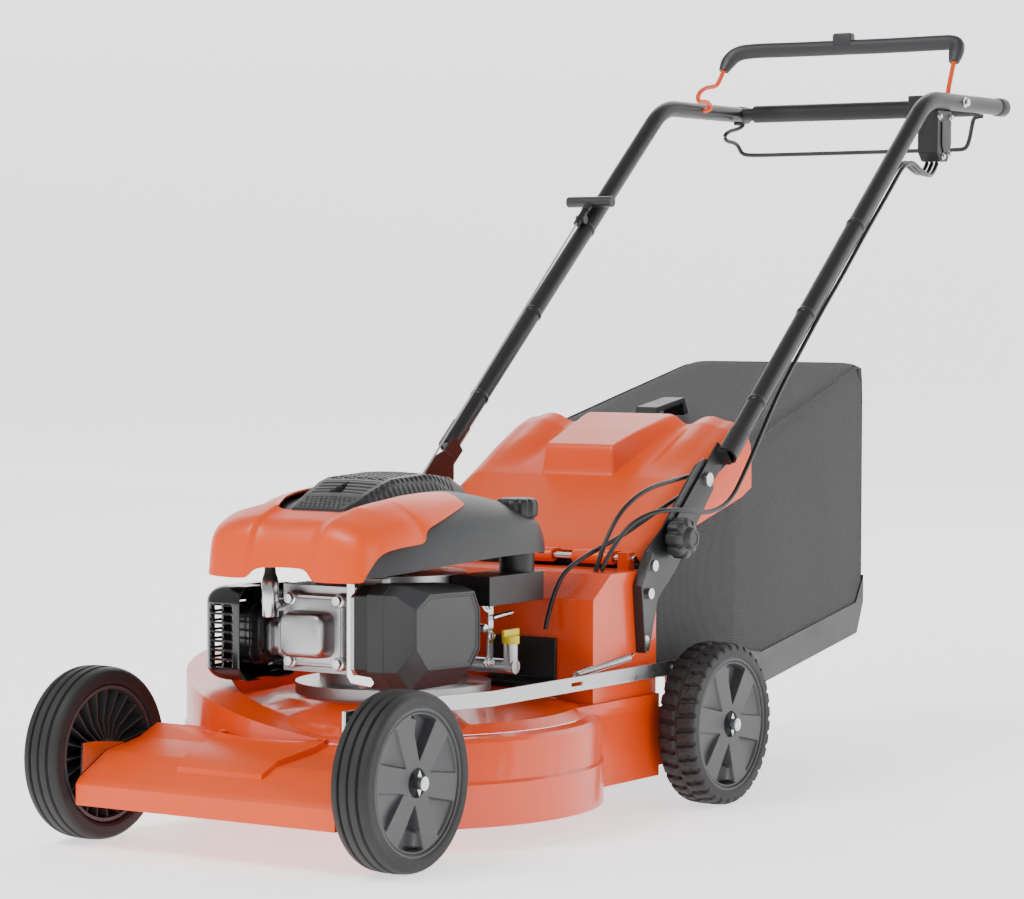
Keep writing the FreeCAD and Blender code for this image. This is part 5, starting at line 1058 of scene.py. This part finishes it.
def guard_shell():
    """Plan path round three sides, times a height profile that curls inwards; slot cells have no faces."""
    turn = np.linspace(0, np.pi / 2, 9)[1:-1]
    front_x = np.concatenate((np.linspace(-93, -102, 5), np.linspace(-103.5, -117, 7), np.linspace(-119, -132, 7)))
    corner = 22.0
    arc_one = np.stack((-132 - corner * np.sin(turn), 134 - corner * np.cos(turn)), -1)
    arc_two = np.stack((-132 - corner * np.cos(turn), 211 + corner * np.sin(turn)), -1)
    side_y = np.sort(np.concatenate([(c - 7, c, c + 7) for c in (148.0, 172.5, 197.0)]))
    plan = np.concatenate((np.stack((front_x, 0 * front_x + 112), -1), arc_one, [(-154, 134)],
                           np.stack((0 * side_y - 154, side_y), -1), [(-154, 211)], arc_two,
                           np.stack((np.linspace(-132, -93, 5), np.full(5, 233.0)), -1)))
    low_z, pitch, slot_high = 204, 11.2, 8
    rows_z = np.sort(np.concatenate([(low, low + slot_high) for low in low_z + pitch * np.arange(7)]))
    curl = np.linspace(0, np.pi / 2, 8)
    inset = np.concatenate(((44, 36, 30), 20 - 20 * np.sin(curl), 0 * rows_z, 20 - 20 * np.cos(curl), (30, 44)))
    height = np.sort(np.concatenate(((187, 187, 187), 207 - 20 * np.cos(curl), rows_z, 283 + 20 * np.sin(curl),
                                     (303, 303))))
    heart, reach = np.array((-93.0, 172.5)), np.array((61.0, 60.5))
    flat = heart + (plan - heart)[:, None, :] * (1 - inset[None, :, None] / reach)
    grid = np.concatenate((flat, np.broadcast_to(height[None, :, None], (*flat.shape[:2], 1))), -1)
    middle = (plan[1:] + plan[:-1]) / 2
    level = (height[1:] + height[:-1]) / 2
    front = (middle[:, 1] < 113) & (((middle[:, 0] > -117) & (middle[:, 0] < -103)) | (middle[:, 0] < -119))
    side = (middle[:, 0] < -153.9) & (np.abs((middle[:, 1] - 148 + 12.25) % 24.5 - 12.25) < 7)
    band = ((level - low_z) % pitch < slot_high) & (level > low_z) & (level < 280)
    band &= np.abs(np.interp(level, height, inset)) < 0.5
    punched = (front | side)[:, None] & band[None, :]
    points, faces = patch(grid)
    return points, [face for face, gone in zip(faces, punched.ravel()) if not gone]


guard = build("slotted_muffler_guard", [guard_shell()], gloss_enamel, "mower_deck", "muffler_guard", sharp=40)
walled(guard, 1.4, (-1, -0.5, 0))
print("muffler and guard")

# %% Air filter housing
OUTLINE = np.array(((94, 214), (119, 189), (225, 189), (248, 213), (248, 284), (235, 311), (111, 318),
                    (94, 306)), float)
INNER = np.array(((104, 242), (129, 216), (222, 213), (240, 233), (240, 281), (228, 304), (131, 306),
                  (104, 291)), float)


def ring_at(x, outline, shrink):
    """An outline of (y, z) corners at one x, scaled about its middle."""
    middle = outline.mean(0)
    return np.insert(middle + (outline - middle) * shrink, 0, x, axis=1)


lid = np.array([ring_at(110, OUTLINE, 0.97), ring_at(111, OUTLINE, 1.0), ring_at(133, OUTLINE, 1.0),
                ring_at(135, OUTLINE, 0.985), ring_at(153, OUTLINE, 0.965), ring_at(173, INNER, 1.0),
                ring_at(173.2, INNER, 0.9), ring_at(171.8, INNER, 0.87)])
soften(build("air_filter_lid", [patch(lid, False, True, caps=True)], grey_plastic, "mower_deck", "air_filter_cover",
             sharp=20), 2.2)
base = np.array([ring_at(88.5, OUTLINE, 0.95), ring_at(110, OUTLINE, 0.965)])
soften(build("air_filter_base", [patch(base, False, True, caps=True)], black_plastic, "mower_deck", sharp=20), 1.5)
ridge_ring = ring_at(173.0, INNER, 0.97)
ridges = []
for k in range(8):
    one, two = ridge_ring[k], ridge_ring[(k + 1) % 8]
    ridges.append(tube(np.linspace(one, two, 4), 1.5, 8))
    if k in (0, 1, 6, 7):
        ridges.append(tube(np.linspace(one, ring_at(150, OUTLINE, 0.955)[k], 4), 1.4, 8))
build("air_filter_ridges", ridges, grey_plastic, "mower_deck", sharp=60)
print("air filter")

# %% Bright shield and the throttle plate
def cut_plate(outline, thick, axis, at):
    """A flat plate: an outline of two coordinates, carried along an axis by its thickness."""
    outline = np.array(outline, float)
    return patch(np.stack([np.insert(outline, axis, at + t, axis=1) for t in (0.0, thick)]), False, True, caps=True)


shield = cut_plate([(73, 206), (79, 198), (108, 195), (112, 199), (112, 222), (86, 226), (84, 316), (73, 316)],
                   1.2, 1, 106)
soften(build("bright_shield_plate", [shield], polished_steel, "mower_deck", sharp=30), 0.4, 2)
arm = [cut_plate([(305, 278), (313, 287), (324, 284), (330, 274), (330, 214), (326, 204), (314, 202), (308, 208),
                  (318, 214), (320, 268), (311, 272)], 2.0, 0, 131)]
for y, z in ((319, 278), (322, 208), (324, 240)):
    arm += hexagon_bolt((133, y, z), 0, 1.0, 8.0)
arm.append(tube(np.array(((136, 324, 262), (136, 345, 264), (136, 366, 265)), float), 3.2, 14))
arm.append(tube(np.array(((120, 312, 250), (134, 312, 250)), float), 5.0, 14))
soften(build("throttle_plate", arm, bright_zinc, "mower_deck", sharp=35), 0.3, 2)
print("shield and throttle plate")

# %% [markdown]
# ## The operator's end
# The brake bail is a bent wire in an orange coat that carries a moulded grip.
# The grip is an oval tube along a pulled line, with a flat clip in the middle. The
# clamp knobs and the fuel cap are turned profiles whose radius waves with the
# angle, so that fingers get a hold.

# %% Oval tubes and pulled lines
def pulled(points, count, degree=2):
    """A smooth line that control points pull: B-spline weights times the points, at equal distances."""
    points = np.asarray(points, float)
    return even(pull(len(points), 400, degree) @ points, count)


def oval(line, one_half, two_half, around=28, power=0.8):
    """A tube whose section is a superellipse with two half widths, tapered by arrays of them."""
    line = np.asarray(line, float)
    _, one, two = frames(line)
    angle = np.linspace(0, 2 * np.pi, around, endpoint=False)
    cosine, sine = squarer(np.cos(angle), power), squarer(np.sin(angle), power)
    first = np.broadcast_to(one_half, (len(line),))[:, None, None] * cosine[None, :, None] * one[:, None]
    second = np.broadcast_to(two_half, (len(line),))[:, None, None] * sine[None, :, None] * two[:, None]
    return patch(line[:, None] + first + second, False, True, caps=True)


# %% Brake bail
PIVOT = np.array((0.0, 1432.0, 945.0))
RISE = np.array((0.0, 58.0, 94.0))
SLANTED = (0.7, 0.5, -0.5)  # a guide that no part of the wires runs along


def on_bail(x, share):
    """A point on the bail: x across, and a share of the way from its pivot to its grip."""
    return np.array((x, 0.0, 0.0)) + PIVOT + share * RISE


grip_line = pulled([on_bail(197, 0.67), on_bail(197, 0.82), on_bail(194, 1.0), on_bail(160, 1.0), on_bail(90, 0.99),
                    on_bail(0, 0.99), on_bail(-90, 0.99), on_bail(-152, 1.0), on_bail(-184, 0.97), on_bail(-196, 0.8),
                    on_bail(-197, 0.67)], 120)
ends = np.minimum(1.0, np.sin(np.clip(np.linspace(0, 1, 120) * 28, 0, np.pi / 2)) * 0.35 + 0.68)
ends = np.minimum(ends, ends[::-1])
grip = oval(grip_line, 11.5 * ends, 9.0 * ends, 32)
clip = stacked([(1042, 16, 8, 3), (1055, 16, 8, 3), (1059, 15, 7, 3), (1060, 13, 5, 2)], (3, 1488, 0), 2)
build("bail_grip_moulding", [grip, clip], grey_plastic, "brake_bail", "bail_grip", sharp=40)
right_wire = pulled([on_bail(-197, 0.70), on_bail(-199, 0.5), (-203, 1458, 984), (-204, 1424, 980), (-204, 1402, 968),
                     (-204, 1406, 957), (-204, 1432, 960), (-204, 1446, 950), (-209, 1436, 945), on_bail(-216, 0),
                     on_bail(-236, 0)], 110)
left_wire = pulled([on_bail(197, 0.70), on_bail(199, 0.4), on_bail(203, 0.06), on_bail(206, 0), on_bail(214, 0),
                    on_bail(236, 0)], 60)
build("bail_wire_bends", [tube(right_wire, 3.6, 14, guide=SLANTED), tube(left_wire, 3.6, 14, guide=SLANTED)],
      orange_wire_coat, "brake_bail", "bail_wires", sharp=60)
heads = hexagon_bolt(on_bail(235, 0), 0, 1.0, 10.0) + hexagon_bolt(on_bail(-235, 0), 0, -1.0, 10.0)
build("bail_pivot_nuts", heads, bright_zinc, "brake_bail", sharp=30)

# %% Drive bail
AXIS = (1536.0, 930.0)
bend = pulled([(-214, *AXIS), (-200, *AXIS), (-197, 1534, 926), (-200, 1520, 920), (-200, 1494, 916), (-200, 1478, 908),
               (-200, 1486, 900), (-200, 1510, 899), (-199, 1522, 894), (-195, 1525, 882), (-182, 1525, 879),
               (-120, 1525, 879), (0, 1525, 879.5), (120, 1525, 880), (176, 1525, 880), (192, 1525, 881),
               (197, 1526, 894), (198, 1533, 918), (200, *AXIS), (214, *AXIS)], 200)
build("drive_bail_wire", [tube(bend, 3.2, 14)], black_powder, "drive_bail_arm", "drive_bail", sharp=60)

# %% Lobed knobs and cap
def lobed(levels, lobes, depth, centre, axis, turns=160):
    """A turned profile of (along, radius, wave) rows: radius less depth times wave, cut between the lobes."""
    levels = np.asarray(levels, float)
    angle = np.linspace(0, 2 * np.pi, turns, endpoint=False)
    valley = smooth((-np.cos(lobes * angle) - 0.1) / 0.9)
    radius = levels[:, 1:2] - depth * levels[:, 2:3] * valley[None, :]
    along = np.tile(levels[:, :1], (1, turns))
    return patch(spun(along, np.maximum(radius, 0.02), turns, centre, axis), False, True)


for side, name in ((1, "left"), (-1, "right")):
    rows = [(0, 0.02, 0), (0, 20, 0.4), (1.5, 24, 0.9), (4, 26.4, 1), (17, 27, 1), (21, 25.5, 1), (23.5, 22, 0.9),
            (24.5, 17.5, 0.2), (24.5, 15, 0), (26, 14, 0), (29, 13.6, 0), (31, 12, 0), (31.4, 9, 0), (30.4, 8.4, 0),
            (30.4, 0.02, 0)]
    rows = [(side * (along + 211.8), radius, wave) for along, radius, wave in rows]
    build(name + "_knob_moulding", [lobed(rows, 8, 5.0, (0, 631.5, 346.4), 0)], grey_plastic, "knob_" + name,
          name + "_knob", sharp=40)
cap_rows = [(383, 0.02, 0), (383, 23, 0), (384, 25, 0.7), (387, 26.5, 1), (400, 26.2, 1), (404, 24.6, 0.8),
            (406, 21.5, 0.3), (406.8, 16, 0), (406.2, 14.5, 0), (406.2, 12, 0), (406.8, 10.5, 0), (406.8, 0.02, 0)]
build("fuel_cap_moulding", [lobed(cap_rows, 10, 2.6, (128, 390, 0), 2)], black_plastic, "cap", "fuel_cap", sharp=40)

# %% Screws, clips and tube ends
BOX_FACE_X = 222.4
screws = []
for y, z in ((1372, 922), (1408, 922), (1384, 864), (1403, 868)):
    screws += hexagon_bolt((BOX_FACE_X, y, z), 0, 1.0, 6.5)
build("control_box_screws", screws, bright_zinc, "handle", sharp=30)
panel_plate = cut_plate([(1378, 915), (1404, 915), (1404, 884), (1398, 870), (1384, 870), (1378, 880)], 2.2, 0,
                        BOX_FACE_X)
soften(build("control_box_panel", [panel_plate], black_plastic, "handle", sharp=30), 1.2, 3)
bands = []
for side in (1, -1):
    for along in (150, 330, 520):
        y, z = leg(along, 0)
        direction = np.array((0.0, np.cos(LEG), np.sin(LEG)))
        middle = np.array((side * HANDLE_X, y, z))
        line = middle + np.linspace(-4, 4, 5)[:, None] * direction
        bands.append(tube(line, np.array((12.9, 13.7, 13.9, 13.7, 12.9)), 32))
    end = np.array((side * HANDLE_X, 1588.0, 945.0))
    cap_line = end + np.array(((0, -24, 0), (0, -22, 0), (0, -2, 0), (0, 1, 0), (0, 3, 0), (0, 3.5, 0)), float)
    bands.append(tube(cap_line, np.array((12.9, 13.9, 13.9, 12.5, 8.0, 1.0)), 32))
build("cable_clips_and_end_caps", bands, black_plastic, "handle", sharp=50)
print("handle details")

# %% [markdown]
# ## The studio
# A white sweep without corners, one large soft light from the upper left, a
# second from the right, and a weak one from behind for the rims. The camera
# stands four and a half metres away with a long lens, so the mower is drawn
# with almost no perspective.

# %% Floor and lights
def sweep_floor(name, half, back, top, bend=2.0, columns=12):
    """A floor that curves up into a wall: z is 0 up to y = back, then a quarter circle, then a straight rise."""
    turn = np.linspace(0, np.pi / 2, 24)
    y = np.concatenate(([-half], back + bend * np.sin(turn), [back + bend]))
    z = np.concatenate(([0.0], bend - bend * np.cos(turn), [top]))
    x = np.linspace(-half, half, columns)
    points = np.stack(np.broadcast_arrays(x[None, :], y[:, None], z[:, None]), -1)
    mesh = bpy.data.meshes.new(name)
    mesh.from_pydata(points.reshape(-1, 3).tolist(), [], quads(len(y), columns).tolist())
    mesh.shade_smooth()
    floor = bpy.data.objects.new(name, mesh)
    bpy.context.scene.collection.objects.link(floor)
    return floor


floor = sweep_floor("studio_sweep", 60.0, 6.0, 9.0)
paper, _, paper_shader, _ = start("white_studio_paper", "#FFFFFF", 0.9, Emission_Strength=1.15)
paper_shader.inputs["Emission Color"].default_value = linear("#FFFFFF")
floor.data.materials.append(paper)


def soft_light(name, at, aim, size, watts):
    """A square area light at one point, turned towards another."""
    data = bpy.data.lights.new(name, "AREA")
    data.shape = "RECTANGLE"
    data.size = size[0]
    data.size_y = size[1]
    data.energy = watts
    light = bpy.data.objects.new(name, data)
    bpy.context.scene.collection.objects.link(light)
    light.location = at
    direction = light.location - type(light.location)(aim)
    light.rotation_euler = direction.to_track_quat("Z", "Y").to_euler()
    return light


soft_light("key", (-1.2, -3.4, 4.2), (0, 0, 0.3), (2.4, 2.4), 190)
soft_light("fill", (4.2, -1.6, 2.2), (0, 0, 0.4), (2.2, 2.2), 34)
soft_light("back", (-2.0, 3.8, 3.6), (0, 0, 0.5), (3.0, 2.0), 60)
world = bpy.data.worlds.new("bright_room")
bpy.context.scene.world = world
world.use_nodes = True
world.node_tree.nodes["Background"].inputs["Color"].default_value = linear("#FFFFFF")
world.node_tree.nodes["Background"].inputs["Strength"].default_value = 0.45

# %% Camera
AZIMUTH, ELEVATION, DISTANCE = np.radians(33.26), np.radians(2.516), 4.449
target = metres((17.2, 547.4, 458.2))
away = np.array((np.sin(AZIMUTH) * np.cos(ELEVATION), -np.cos(AZIMUTH) * np.cos(ELEVATION), np.sin(ELEVATION)))
lens = bpy.data.cameras.new("long_lens")
lens.lens = 120.3
camera = bpy.data.objects.new("camera", lens)
bpy.context.scene.collection.objects.link(camera)
camera.location = (target + away * DISTANCE).tolist()
look = type(camera.location)(away.tolist()).to_track_quat("Z", "Y")
roll = type(look)((0.0, 0.0, 1.0), np.radians(0.144))
camera.rotation_euler = (look @ roll).to_euler()
bpy.context.scene.camera = camera
